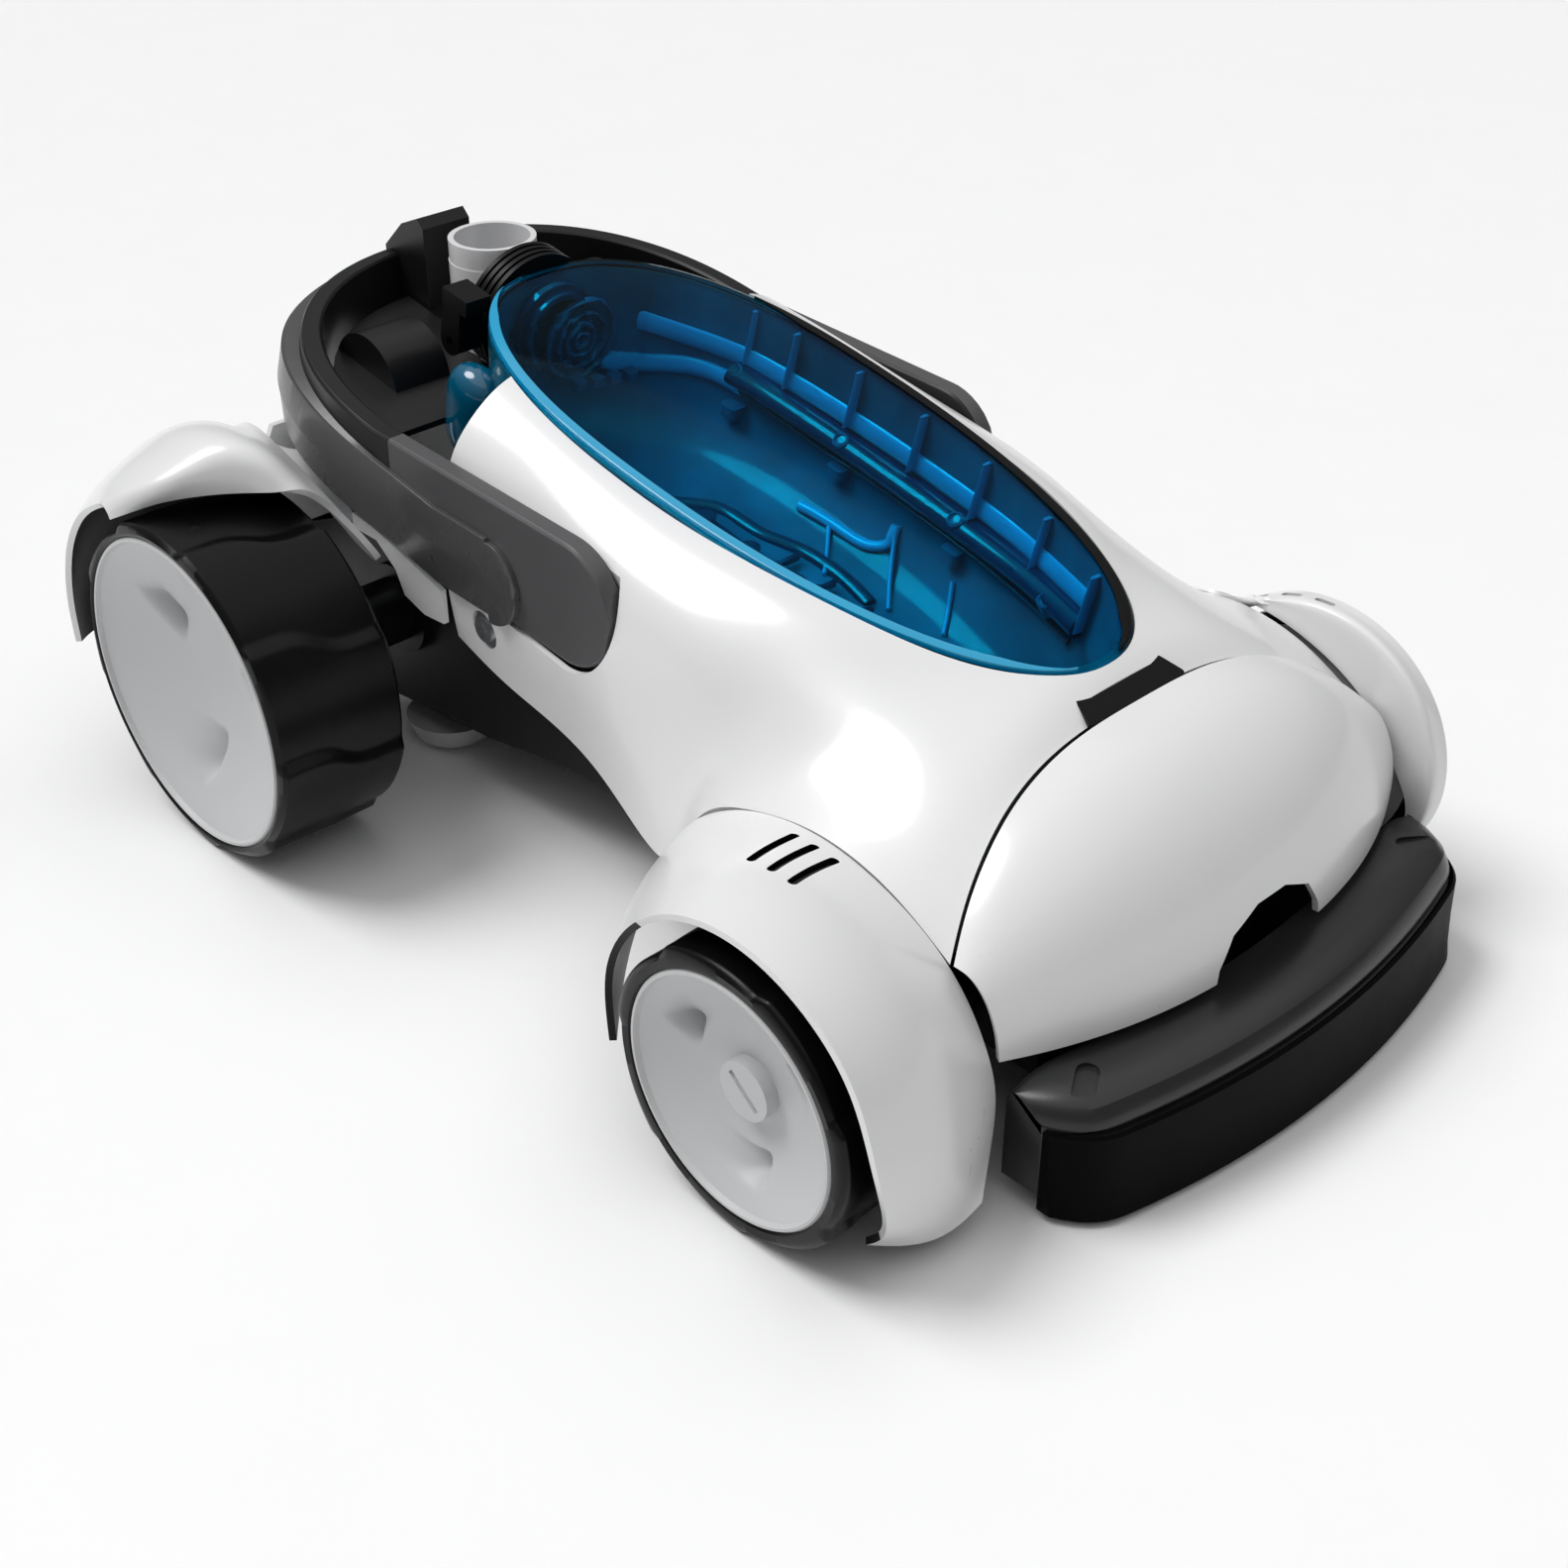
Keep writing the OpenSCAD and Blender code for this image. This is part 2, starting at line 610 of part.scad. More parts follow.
// Clear lid with a low crown
lid_steps = 7;
function lid_ring(k, sink) =
  let (s = 1 - k / (lid_steps + 1))
  [for (q = rim_outline(0, 48))
    [rim_x + (q[0] - rim_x) * s, q[1] * s, crown * (1 - s * s) - sink]];
module canister_lid() {
  in_frame() color([0.1, 0.6, 0.9, 0.3]) on_rim() difference() {
    skin([lid_ring(0, 2.4), for (k = [0:lid_steps]) lid_ring(k, 0)]);
    skin([for (k = [0:lid_steps]) [for (q = lid_ring(k, 2.4))
      k == 0 ? [mix(rim_x, q[0], 0.95), q[1] * 0.95, -3] : q]]);
  }
}

module lid_seal() {
  in_frame() color("black") on_rim() translate([0, 0, -2.9]) linear_extrude(0.4) difference() {
    polygon(rim_outline(-1.3, 96));
    polygon(rim_outline(-3.2, 96));
  }
}

// Catch on the ear of the bowl, which rocks back from the lid
module lid_clip() {
  in_frame() color("black") on_rim() difference() {
    union() {
      translate([clip_x, -45.7, clip_n]) rotate([-90, 0, 0]) cylinder(h = 12.7, r = 6);
      translate([clip_x - 6, -45.7, clip_n]) cube([12, 12.7, 20]);
      translate([clip_x - 6, -45.7, clip_n + 16]) cube([16, 12.7, 7]);
    }
    translate([clip_x, -60, clip_n]) rotate([-90, 0, 0]) cylinder(h = 60, r = 2 + running_fit);
  }
}

// ---------- handle ----------
function handle_low(x) =
  x < -225 ? 139 : x < -170 ? mix(139, 124, (x + 225) / 55)
  : x < -100 ? mix(124, 105, (x + 170) / 70) : mix(105, 104, (x + 100) / 78);
function handle_high(x) =
  x < -140 ? mix(183, 162, (x + 261) / 121) : mix(162, 156, (x + 140) / 118);
// Plan curve of the bar: straight arms, then half of a superellipse
function handle_plan(s, half_w, reach, q) =
  s < 3 ? [[-22, -66, -100][s], half_w]
  : let (a = 90 + (s - 3) * 10)
    [-140 - reach * pow(abs(cos(a)), 2 / q), half_w * pow(abs(sin(a)), 2 / q)];
function bar_outer(s) = handle_plan(s, 106.5, 119, 2.3);
function bar_inner(s) = handle_plan(s, 106.5 - bar_w, 119 - bar_w, 2.3);
function grip_outer(s) = handle_plan(s, 110, 123.2, 3);
function bar_foot(s) = s < 3 ? bar_outer(s) : mix(bar_outer(s), grip_outer(s), 0.6);
function at_height(p, z) = [p[0], p[1], z];
function bar_ring(s) =
  let (x = bar_outer(s)[0], low = handle_low(x), high = handle_high(x))
  [at_height(bar_foot(s), low), at_height(bar_outer(s), high - 1),
    at_height(mix(bar_outer(s), bar_inner(s), 0.15), high),
    at_height(bar_inner(s), high - 0.6), at_height(bar_inner(s), low)];
function off_bar(p, s) =
  p + grip_gap * unit([bar_outer(s)[0] - bar_inner(s)[0], bar_outer(s)[1] - bar_inner(s)[1], 0]);
function grip_ring(s) =
  let (
    ring = [for (p = bar_ring(s)) off_bar(p, s)], rise = s < 3 ? 0.66 : mix(0.66, 0.86, (s - 3) / 9),
    low = ring[0][2], top = mix(ring[0], ring[1], rise)
  )
  [ring[0], at_height(mix(bar_foot(s), grip_outer(s), 0.8), low + 0.5),
    at_height(grip_outer(s), mix(low, top[2], 0.55)),
    at_height(mix([top[0], top[1], 0], at_height(grip_outer(s), 0), 0.6), top[2] - 1.5), top];
function mirrored_ring(ring) = [for (p = ring) mirrored(p)];
latch_half_w = 13;
grip_gap = 1;
module handle_bar() {
  in_frame() color("dimgray") difference() {
    union() {
      skin(concat([for (s = [0:12]) mirrored_ring(bar_ring(s))],
        [for (s = [11:-1:0]) bar_ring(s)]));
      for (y = [-106.5, 97.5]) rod(pivot_x, pivot_z, y, y + 9, arm_r);
      translate([-257, -11, 139.5]) cube([24, 22, 5.5]);
    }
    rod(pivot_x, pivot_z, -120, 120, pin_r + running_fit);
    translate([-280, -latch_half_w, 145]) cube([60, 2 * latch_half_w, 80]);
  }
}

// Outer band of the handle, with a round front end
module grip(side) {
  difference() {
    union() {
      skin(side < 0 ? [for (s = [1:12]) mirrored_ring(grip_ring(s))]
        : [for (s = [12:-1:1]) grip_ring(s)]);
      across([-66, 0, 122.4], side > 0 ? 107 : -110, side > 0 ? 110 : -107) circle(r = 17.5);
    }
    translate([-280, -latch_half_w - 2, 100]) cube([60, 2 * latch_half_w + 4, 120]);
  }
}
module grip_right() { in_frame() color("black") grip(-1); }
module grip_left() { in_frame() color("black") grip(1); }

module handle_latch() {
  w = latch_half_w - 0.4;
  in_frame() color("black") across([0, 0, 0], -w, w)
    polygon([[-259, 150], [-259, 184], [-245, 197], [-233, 202], [-229, 198], [-229, 150]]);
}

module latch_spring() {
  in_frame() color("silver") for (k = [0:5]) translate([-246, 0, 145 + 0.85 * k]) difference() {
    cylinder(h = 0.6, r = 4);
    translate([0, 0, -1]) cylinder(h = 3, r = 3.2);
  }
}

// ---------- wheels ----------
// Ring of a tyre round its axle, from the outer face inwards
module tyre(x, r, side, face_y, w, bore_r) {
  translate([x, side * face_y, r]) rotate([side * 90, 0, 0]) rotate_extrude($fn = 96)
    polygon([[bore_r, 0.6], [r - 2, 0], [r - 0.6, 0.5], [r, 2.5], [r, w - 2.5],
      [r - 2, w], [bore_r, w]]);
}
// Dished hub face: rim ring, funnel and centre boss. A slim hub is less deep.
function dish(w) = w > 30 ? 1 : w / 42;
module hub(x, r, side, face_y, w, rim_r, bore_r) {
  d = dish(w);
  translate([x, side * face_y, r]) rotate([side * 90, 0, 0]) difference() {
    rotate_extrude($fn = 96)
      polygon([[rim_r - 0.05, 0.8], [rim_r - 0.05, w - 2], [rim_r - 4, w - 2],
        [rim_r - 4, 14 * d], [16, 24 * d], [16, w - 1], [0, w - 1], [0, 16 * d], [12, 16 * d],
        [20, 15 * d], [rim_r - 6, 3 * d], [rim_r - 3, 0.4]]);
    cylinder(h = 200, r = bore_r, center = true);
  }
}
rear_bore = 66;
front_bore = 47;
module rear_tyre_right() {
  in_frame() color("black") tyre(rear_x, rear_r, -1, rear_face_y, rear_tyre_w, rear_bore);
}
module rear_tyre_left() {
  in_frame() color("black") tyre(rear_x, rear_r, 1, slim_rear_y, slim_rear_w, rear_bore);
}
module rear_hub_right() {
  in_frame() color("lightgray") hub(rear_x, rear_r, -1, rear_face_y, rear_tyre_w, rear_bore, axle_r);
}
module rear_hub_left() {
  in_frame() color("lightgray") hub(rear_x, rear_r, 1, slim_rear_y, slim_rear_w, rear_bore, axle_r);
}
module front_tyre_right() {
  in_frame() color("black") tyre(front_x, front_r, -1, front_face_y, front_tyre_w, front_bore);
}
module front_tyre_left() {
  in_frame() color("black") tyre(front_x, front_r, 1, slim_front_y, slim_front_w, front_bore);
}
module front_hub_right() {
  in_frame() color("lightgray")
    hub(front_x, front_r, -1, front_face_y, front_tyre_w, front_bore, front_axle_r);
}
module front_hub_left() {
  in_frame() color("lightgray")
    hub(front_x, front_r, 1, slim_front_y, slim_front_w, front_bore, front_axle_r);
}

module rear_axle() {
  in_frame() color("silver") rod(rear_x, rear_r, -180, slim_rear_y - 10, axle_r);
}
module front_axle() {
  in_frame() color("silver") rod(front_x, front_r, -174, slim_front_y - 6, front_axle_r);
}
// Slotted cap in the middle of each front hub
module front_cap(base_y, h) {
  difference() {
    rod(front_x, front_r, base_y, base_y + h, 11);
    translate([front_x, base_y + h, front_r]) rotate([0, 40, 0])
      cube([16, 2, 2.4], center = true);
  }
}
module front_caps() {
  in_frame() color("lightgray") {
    scale([1, -1, 1]) front_cap(178.2, 7.8);
    front_cap(slim_front_y - 4, 3.2);
  }
}

// Involute gear outline with a tooth pointing along +X
function roll(r, base) = sqrt(pow(r / base, 2) - 1) * 180 / PI - acos(base / r);
function tooth_flank(teeth) =
  let (
    r = gear_m * teeth / 2, base = r * cos(20), low = max(base * 1.001, r - 1.2 * gear_m),
    high = r + 0.92 * gear_m, half = 90 / teeth - 0.12 / r * 180 / PI
  )
  [for (k = [0:4])
    let (q = mix(low, high, k / 4)) [q, half + roll(r, base) - roll(q, base)]];
module gear_outline(teeth, phase) {
  r = gear_m * teeth / 2;
  flank = tooth_flank(teeth);
  root = r - 1.25 * gear_m;
  polygon([for (t = [0:teeth - 1])
    let (a = phase + 360 * t / teeth)
    each concat(
      [root * [cos(a - 90 / teeth * 1.25), sin(a - 90 / teeth * 1.25)]],
      [for (f = flank) f[0] * [cos(a - f[1]), sin(a - f[1])]],
      [for (k = [4:-1:0]) flank[k][0] * [cos(a + flank[k][1]), sin(a + flank[k][1])]],
      [root * [cos(a + 90 / teeth * 1.25), sin(a + 90 / teeth * 1.25)]]
    )]);
}
module axle_gear() {
  in_frame() color("gold") difference() {
    union() {
      across([rear_x, 0, rear_r], gear_y - gear_w, gear_y - 1)
        gear_outline(axle_teeth, train_angle);
      rod(rear_x, rear_r, gear_y - gear_w - 6, gear_y - gear_w, 12);
    }
    rod(rear_x, rear_r, 0, 120, axle_r);
  }
}
module idler_gear() {
  in_frame() color("gold") {
    across(idler_at, gear_y - gear_w + 1, gear_y - 2)
      gear_outline(idler_teeth, train_angle + 180 / idler_teeth);
    rod(idler_at[0], idler_at[2], 34, gear_y - gear_w + 1, shaft_r);
  }
}
module turbine_wheel() {
  x = turbine_at[0];
  z = turbine_at[2];
  in_frame() color("orange") {
    across(turbine_at, gear_y - gear_w, gear_y - 1)
      gear_outline(pinion_teeth, train_angle + 180);
    rod(x, z, -37, gear_y - gear_w, shaft_r);
    rod(x, z, -25, 25, 10);
    for (k = [0:7]) translate([x, 0, z]) rotate([0, 45 * k, 0])
      translate([6, -25, -1.2]) cube([21, 50, 2.4]);
  }
}
module pulley(x, z, r, bore_r) {
  difference() {
    union() {
      rod(x, z, pulley_y - pulley_w / 2 + 1, pulley_y + pulley_w / 2 - 1, r);
      for (y = [pulley_y - pulley_w / 2, pulley_y + pulley_w / 2 - 1.3])
        rod(x, z, y, y + 1.3, r + 3);
    }
    rod(x, z, -120, 0, bore_r);
  }
}
module rear_pulley() {
  in_frame() color("gold") pulley(rear_x, rear_r, rear_pulley_r, axle_r);
}
module front_pulley() {
  in_frame() color("gold") pulley(front_x, front_r, front_pulley_r, front_axle_r);
}
module belt_outline(grow) {
  hull() {
    circle(r = rear_pulley_r + grow);
    translate([front_x - rear_x, front_r - rear_r]) circle(r = front_pulley_r + grow);
  }
}
module drive_belt() {
  in_frame() color([0.15, 0.15, 0.15])
    across([rear_x, 0, rear_r], pulley_y - 3, pulley_y + 3) difference() {
      belt_outline(0.3 + belt_t);
      belt_outline(0.3);
    }
}

top_shell();
nose_hood();
fairing_right();
fairing_left();
fender_right();
fender_left();
side_trim_right();
side_trim_left();
rear_cowl();
belly_pan();
rear_deck();
handle_pocket_right();
handle_pocket_left();
bumper();
scrubber_blade();
hose_tube();
tube_collar();
turbine_housing();
intake_throat();
belly_pads();
rear_bearings();
front_bearings();
drive_belt();
side_screws();
canister_bowl();
canister_rail();
debris_screen();
outlet_ring();
canister_lid();
lid_seal();
lid_clip();
handle_bar();
grip_right();
grip_left();
handle_latch();
latch_spring();
rear_axle();
rear_tyre_right();
rear_tyre_left();
rear_hub_right();
rear_hub_left();
axle_gear();
rear_pulley();
front_axle();
front_tyre_right();
front_tyre_left();
front_hub_right();
front_hub_left();
front_pulley();
front_caps();
idler_gear();
turbine_wheel();
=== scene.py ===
import math

import bmesh
import bpy
import numpy as np
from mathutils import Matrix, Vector


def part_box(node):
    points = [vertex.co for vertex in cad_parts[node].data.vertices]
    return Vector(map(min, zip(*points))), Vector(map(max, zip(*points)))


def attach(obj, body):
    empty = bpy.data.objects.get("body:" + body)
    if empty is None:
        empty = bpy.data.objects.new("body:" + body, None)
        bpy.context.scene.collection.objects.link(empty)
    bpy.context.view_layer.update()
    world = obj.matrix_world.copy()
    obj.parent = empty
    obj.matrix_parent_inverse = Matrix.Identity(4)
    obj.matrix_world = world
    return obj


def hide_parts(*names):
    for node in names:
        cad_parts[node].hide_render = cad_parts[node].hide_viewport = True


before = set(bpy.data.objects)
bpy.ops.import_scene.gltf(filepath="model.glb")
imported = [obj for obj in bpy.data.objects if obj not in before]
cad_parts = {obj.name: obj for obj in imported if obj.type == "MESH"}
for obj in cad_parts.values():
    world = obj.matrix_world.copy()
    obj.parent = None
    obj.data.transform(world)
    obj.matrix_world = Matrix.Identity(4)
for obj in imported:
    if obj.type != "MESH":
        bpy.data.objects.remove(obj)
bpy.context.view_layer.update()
MM = 0.001

# ---------- camera ----------
# Fitted to the wheels, the axles and the hose tube of the photograph
CAMERA_AT = (0.55431, -0.51460, 0.52660)
CAMERA_LOOK = (-0.6011, 0.5777, -0.5522)
LENS = 50.46
SENSOR = 36

camera = bpy.data.objects.new("camera", bpy.data.cameras.new("camera"))
bpy.context.scene.collection.objects.link(camera)
camera.location = CAMERA_AT
camera.rotation_euler = Vector(CAMERA_LOOK).to_track_quat("-Z", "Y").to_euler()
camera.data.lens = LENS
camera.data.sensor_width = SENSOR
bpy.context.scene.camera = camera


# ---------- places in millimetres, from the frame and as in the CAD source ----------
def middle(node):
    """Middle of a CAD node's box."""
    low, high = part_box(node)
    return (np.array(low) + np.array(high)) / 2 / MM


# All pieces are drawn with Y counted from the middle plane of the body
BODY_Y = middle("hose_tube")[1]


def reach(node, axis, end):
    """Low (0) or high (1) end of a CAD node's box along an axis."""
    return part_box(node)[end][axis] / MM - (BODY_Y if axis == 1 else 0)


rear_axle = middle("rear_axle")
front_axle = middle("front_axle")
rear_r = (reach("rear_tyre_right", 2, 1) - reach("rear_tyre_right", 2, 0)) / 2
front_r = (reach("front_tyre_right", 2, 1) - reach("front_tyre_right", 2, 0)) / 2

# The rim of the canister lies in a plane that slopes down to the front
TILT = math.radians(11)
RIM_Z = 164.2
RIM_X = -30
RIM_FRONT, RIM_REAR, RIM_HALF = 183, 135, 70.4
RIM_POINTS = 160

WALL = 2.6           # of the white covers
SEAM_Y = 117         # joint of the body with the front arches
HOOD_X, HOOD_Z = 163.5, 125    # top of the joint of the body with the hood

PIVOT = np.array([-22.0, 0.0, 130.0])   # of the handle
ARM_R = 26           # round front end of an arm
BAR_Y, BAR_INNER_Y, GRIP_Y = 106.5, 97.5, 110
BEND_X = -140        # where the arms start to bend round the back
BEND_U = 0.45        # share of the plan curve in front of that

# Slots on top of the broad front arch
VENT_X, VENT_Y, VENT_PITCH, VENTS = 126.5, 140, 9.5, 3
VENT_TURN = math.radians(-17)


# ---------- curves ----------
def smooth_through(rows, count):
    """A natural cubic spline through the rows, sampled at count even places."""
    rows = np.asarray(rows, float)
    n = len(rows)
    matrix = np.eye(n)
    right = np.zeros_like(rows)
    for i in range(1, n - 1):
        matrix[i, i - 1:i + 2] = (1, 4, 1)
        right[i] = 6 * (rows[i - 1] - 2 * rows[i] + rows[i + 1])
    bend = np.linalg.solve(matrix, right.reshape(n, -1)).reshape(rows.shape)
    s = np.linspace(0, n - 1, count)
    i = np.minimum(s.astype(int), n - 2)
    t = (s - i).reshape((-1,) + (1,) * (rows.ndim - 1))
    u = 1 - t
    return (u * rows[i] + t * rows[i + 1]
            + ((u ** 3 - u) * bend[i] + (t ** 3 - t) * bend[i + 1]) / 6)


def surface_through(grid, nu, nv):
    """A smooth surface of nu by nv points through a coarse grid of points."""
    rows = smooth_through(grid, nu)
    return np.swapaxes(smooth_through(np.swapaxes(rows, 0, 1), nv), 0, 1)


def both_halves(row):
    """The row with its mirror image before it. The first point is on the middle plane."""
    row = np.asarray(row, float)
    other = row[:0:-1].copy()
    other[:, 1] *= -1
    return np.concatenate([other, row])


def fillet(points, radius, steps=4):
    """Rounds the corners of a closed polygon."""
    points = [np.array(p, float) for p in points]
    out = []
    for i, p in enumerate(points):
        a, b = points[i - 1], points[(i + 1) % len(points)]
        la, lb = np.linalg.norm(a - p), np.linalg.norm(b - p)
        cut = min(radius, 0.45 * la, 0.45 * lb)
        start, end = p + (a - p) / la * cut, p + (b - p) / lb * cut
        for t in np.linspace(0, 1, steps + 1):
            out.append((1 - t) ** 2 * start + 2 * t * (1 - t) * p + t ** 2 * end)
    return np.array(out)


def grid_normals(grid):
    """Unit normals at the points of a grid."""
    along = np.gradient(grid, axis=0)
    across = np.gradient(grid, axis=1)
    n = np.cross(along, across)
    return n / np.maximum(np.linalg.norm(n, axis=2, keepdims=True), 1e-9)


def rim_outline(grow, count, n=0.0):
    """Points of the canister rim outline in its own tilted plane, at height n over it."""
    a = np.linspace(0, 2 * math.pi, count, endpoint=False)
    front = np.cos(a) > 0
    q = np.where(front, 2.2, 2.4)
    long = np.where(front, RIM_FRONT, RIM_REAR) + grow
    x = RIM_X + np.sign(np.cos(a)) * long * np.abs(np.cos(a)) ** (2 / q)
    y = np.sign(np.sin(a)) * (RIM_HALF + grow) * np.abs(np.sin(a)) ** (2 / q)
    return np.stack([x, y, np.full(count, float(n))], 1)


def from_rim(points):
    """From the tilted rim frame to the object's frame."""
    p = np.asarray(points, float)
    c, s = math.cos(TILT), math.sin(TILT)
    return np.stack([p[..., 0] * c + p[..., 2] * s, p[..., 1],
                     RIM_Z - p[..., 0] * s + p[..., 2] * c], -1)


RIM_UP = from_rim([0, 0, 1]) - from_rim([0, 0, 0])


# ---------- meshes ----------
def new_object(name, points, faces):
    """A smooth mesh with its normals outward, from points in millimetres."""
    mesh = bpy.data.meshes.new(name)
    mesh.from_pydata(((np.asarray(points) + [0, BODY_Y, 0]) * MM).tolist(), [], faces)
    mesh.validate()
    made = bpy.data.objects.new(name, mesh)
    bpy.context.scene.collection.objects.link(made)
    bm = bmesh.new()
    bm.from_mesh(mesh)
    bmesh.ops.recalc_face_normals(bm, faces=bm.faces)
    bm.to_mesh(mesh)
    bm.free()
    shade(made)
    return made


def shade(made, angle=35):
    """Smooth shading that stays sharp at edges over the angle, in degrees."""
    for p in made.data.polygons:
        p.use_smooth = True
    made.data.set_sharp_from_angle(angle=math.radians(angle))


def shell(name, grid, wall=WALL):
    """A closed plate with one side on the grid. The faces of that side are marked."""
    rows, columns = grid.shape[:2]
    on_grid = grid.reshape(-1, 3)
    offset = (grid - wall * grid_normals(grid)).reshape(-1, 3)
    size = rows * columns
    faces = []
    for i in range(rows - 1):
        for j in range(columns - 1):
            a = i * columns + j
            q = (a, a + 1, a + columns + 1, a + columns)
            faces.append(q)
            faces.append(tuple(k + size for k in reversed(q)))
    edge = (list(range(columns)) + [i * columns + columns - 1 for i in range(1, rows)]
            + [(rows - 1) * columns + j for j in range(columns - 2, -1, -1)]
            + [i * columns for i in range(rows - 2, 0, -1)])
    for k, a in enumerate(edge):
        b = edge[(k + 1) % len(edge)]
        faces.append((b, a, a + size, b + size))
    made = new_object(name, np.concatenate([on_grid, offset]), faces)
    followed = made.data.attributes.new("followed", "BOOLEAN", "FACE")
    for k in range((rows - 1) * (columns - 1)):
        followed.data[2 * k].value = True
    return made


def loft(name, rings, caps=True, around=False):
    """A skin over rings that all have the same number of points."""
    rings = np.asarray(rings, float)
    count, n = rings.shape[:2]
    faces = []
    for i in range(count if around else count - 1):
        k = (i + 1) % count
        for j in range(n):
            m = (j + 1) % n
            faces.append((i * n + j, i * n + m, k * n + m, k * n + j))
    if caps and not around:
        faces.append(tuple(range(n - 1, -1, -1)))
        faces.append(tuple((count - 1) * n + j for j in range(n)))
    return new_object(name, rings.reshape(-1, 3), faces)


def prism(name, outline, direction, depth, start):
    """A straight prism over a closed outline of 3-D points."""
    outline = np.asarray(outline, float)
    direction = np.asarray(direction, float)
    return loft(name, [outline + direction * start, outline + direction * (start + depth)])


def cut_away(piece, cutters):
    """Cuts the cutters out of the piece and removes them."""
    for cutter in cutters:
        m = piece.modifiers.new("cut", "BOOLEAN")
        m.operation = "DIFFERENCE"
        m.object = cutter
        m.solver = "MANIFOLD"
    bake(piece)
    for cutter in cutters:
        bpy.data.objects.remove(cutter)
    shade(piece)


def bake(piece):
    """Applies the modifiers to the mesh."""
    bpy.context.view_layer.update()
    graph = bpy.context.evaluated_depsgraph_get()
    mesh = bpy.data.meshes.new_from_object(piece.evaluated_get(graph))
    piece.modifiers.clear()
    piece.data = mesh


def bevel(piece, width, segments=3, angle=38):
    """Rounds the edges over the angle, in degrees, by a width in millimetres."""
    m = piece.modifiers.new("bevel", "BEVEL")
    m.width = width * MM
    m.segments = segments
    m.limit_method = "ANGLE"
    m.angle_limit = math.radians(angle)


def stadium(width, height, count=10):
    """Outline of a slot with round ends along its second axis."""
    r = width / 2
    out = []
    for side in (1, -1):
        for t in np.linspace(0, math.pi, count):
            out.append((r * math.cos(t) * side, side * (height / 2 - r + r * math.sin(t))))
    return np.array(out)


def join(name, parts):
    """One object from several."""
    bm = bmesh.new()
    for part in parts:
        part.data.transform(part.matrix_world)
        bm.from_mesh(part.data)
        bpy.data.objects.remove(part)
    mesh = bpy.data.meshes.new(name)
    bm.to_mesh(mesh)
    bm.free()
    made = bpy.data.objects.new(name, mesh)
    bpy.context.scene.collection.objects.link(made)
    shade(made)
    return made


# ---------- materials ----------
def set_input(node, name, value):
    node.inputs[name].default_value = value


class Finish:
    """A Principled material with a little colour variation, roughness variation and bump."""

    def __init__(self, name, color, rough, vary=0.04, grain=900, bump=0.02, coat=0.0,
                 metal=0.0, patch=14, rough_vary=0.06, ior=1.5):
        self.material = bpy.data.materials.new(name)
        self.material.use_nodes = True
        self.tree = self.material.node_tree
        self.shader = self.tree.nodes["Principled BSDF"]
        set_input(self.shader, "Metallic", metal)
        set_input(self.shader, "IOR", ior)
        set_input(self.shader, "Coat Weight", coat)
        set_input(self.shader, "Coat Roughness", 0.08)
        coords = self.tree.nodes.new("ShaderNodeTexCoord")
        self.coords = coords.outputs["Object"]
        wide = self.noise(patch, 3)
        mix = self.tree.nodes.new("ShaderNodeMix")
        mix.data_type = "RGBA"
        low = tuple(c * (1 - vary) for c in color)
        high = tuple(min(1, c * (1 + vary)) for c in color)
        mix.inputs["A"].default_value = (*low, 1)
        mix.inputs["B"].default_value = (*high, 1)
        self.link(wide, mix.inputs["Factor"])
        self.link(mix.outputs["Result"], self.shader.inputs["Base Color"])
        ramp = self.tree.nodes.new("ShaderNodeMapRange")
        ramp.inputs["To Min"].default_value = max(0.02, rough - rough_vary)
        ramp.inputs["To Max"].default_value = rough + rough_vary
        self.link(self.noise(patch * 4, 4), ramp.inputs["Value"])
        self.link(ramp.outputs["Result"], self.shader.inputs["Roughness"])
        if bump:
            node = self.tree.nodes.new("ShaderNodeBump")
            node.inputs["Strength"].default_value = bump
            node.inputs["Distance"].default_value = 0.0004
            self.link(self.noise(grain, 2), node.inputs["Height"])
            self.link(node.outputs["Normal"], self.shader.inputs["Normal"])

    def link(self, a, b):
        self.tree.links.new(a, b)

    def noise(self, scale, detail):
        node = self.tree.nodes.new("ShaderNodeTexNoise")
        node.inputs["Scale"].default_value = scale
        node.inputs["Detail"].default_value = detail
        self.link(self.coords, node.inputs["Vector"])
        return node.outputs["Fac"]


def tinted_clear(name, color, rough=0.03, ior=1.35, shadow=(0.6, 0.9, 1.0)):
    """A clear tinted moulding. Light that passes it on the way to the inside stays bright."""
    f = Finish(name, color, rough, vary=0.05, bump=0.01, grain=500, rough_vary=0.015, ior=ior)
    set_input(f.shader, "Transmission Weight", 1.0)
    out = f.tree.nodes["Material Output"]
    path = f.tree.nodes.new("ShaderNodeLightPath")
    clear = f.tree.nodes.new("ShaderNodeBsdfTransparent")
    clear.inputs["Color"].default_value = (*shadow, 1)
    mix = f.tree.nodes.new("ShaderNodeMixShader")
    f.link(path.outputs["Is Shadow Ray"], mix.inputs["Fac"])
    f.link(f.shader.outputs["BSDF"], mix.inputs[1])
    f.link(clear.outputs["BSDF"], mix.inputs[2])
    f.link(mix.outputs["Shader"], out.inputs["Surface"])
    return f


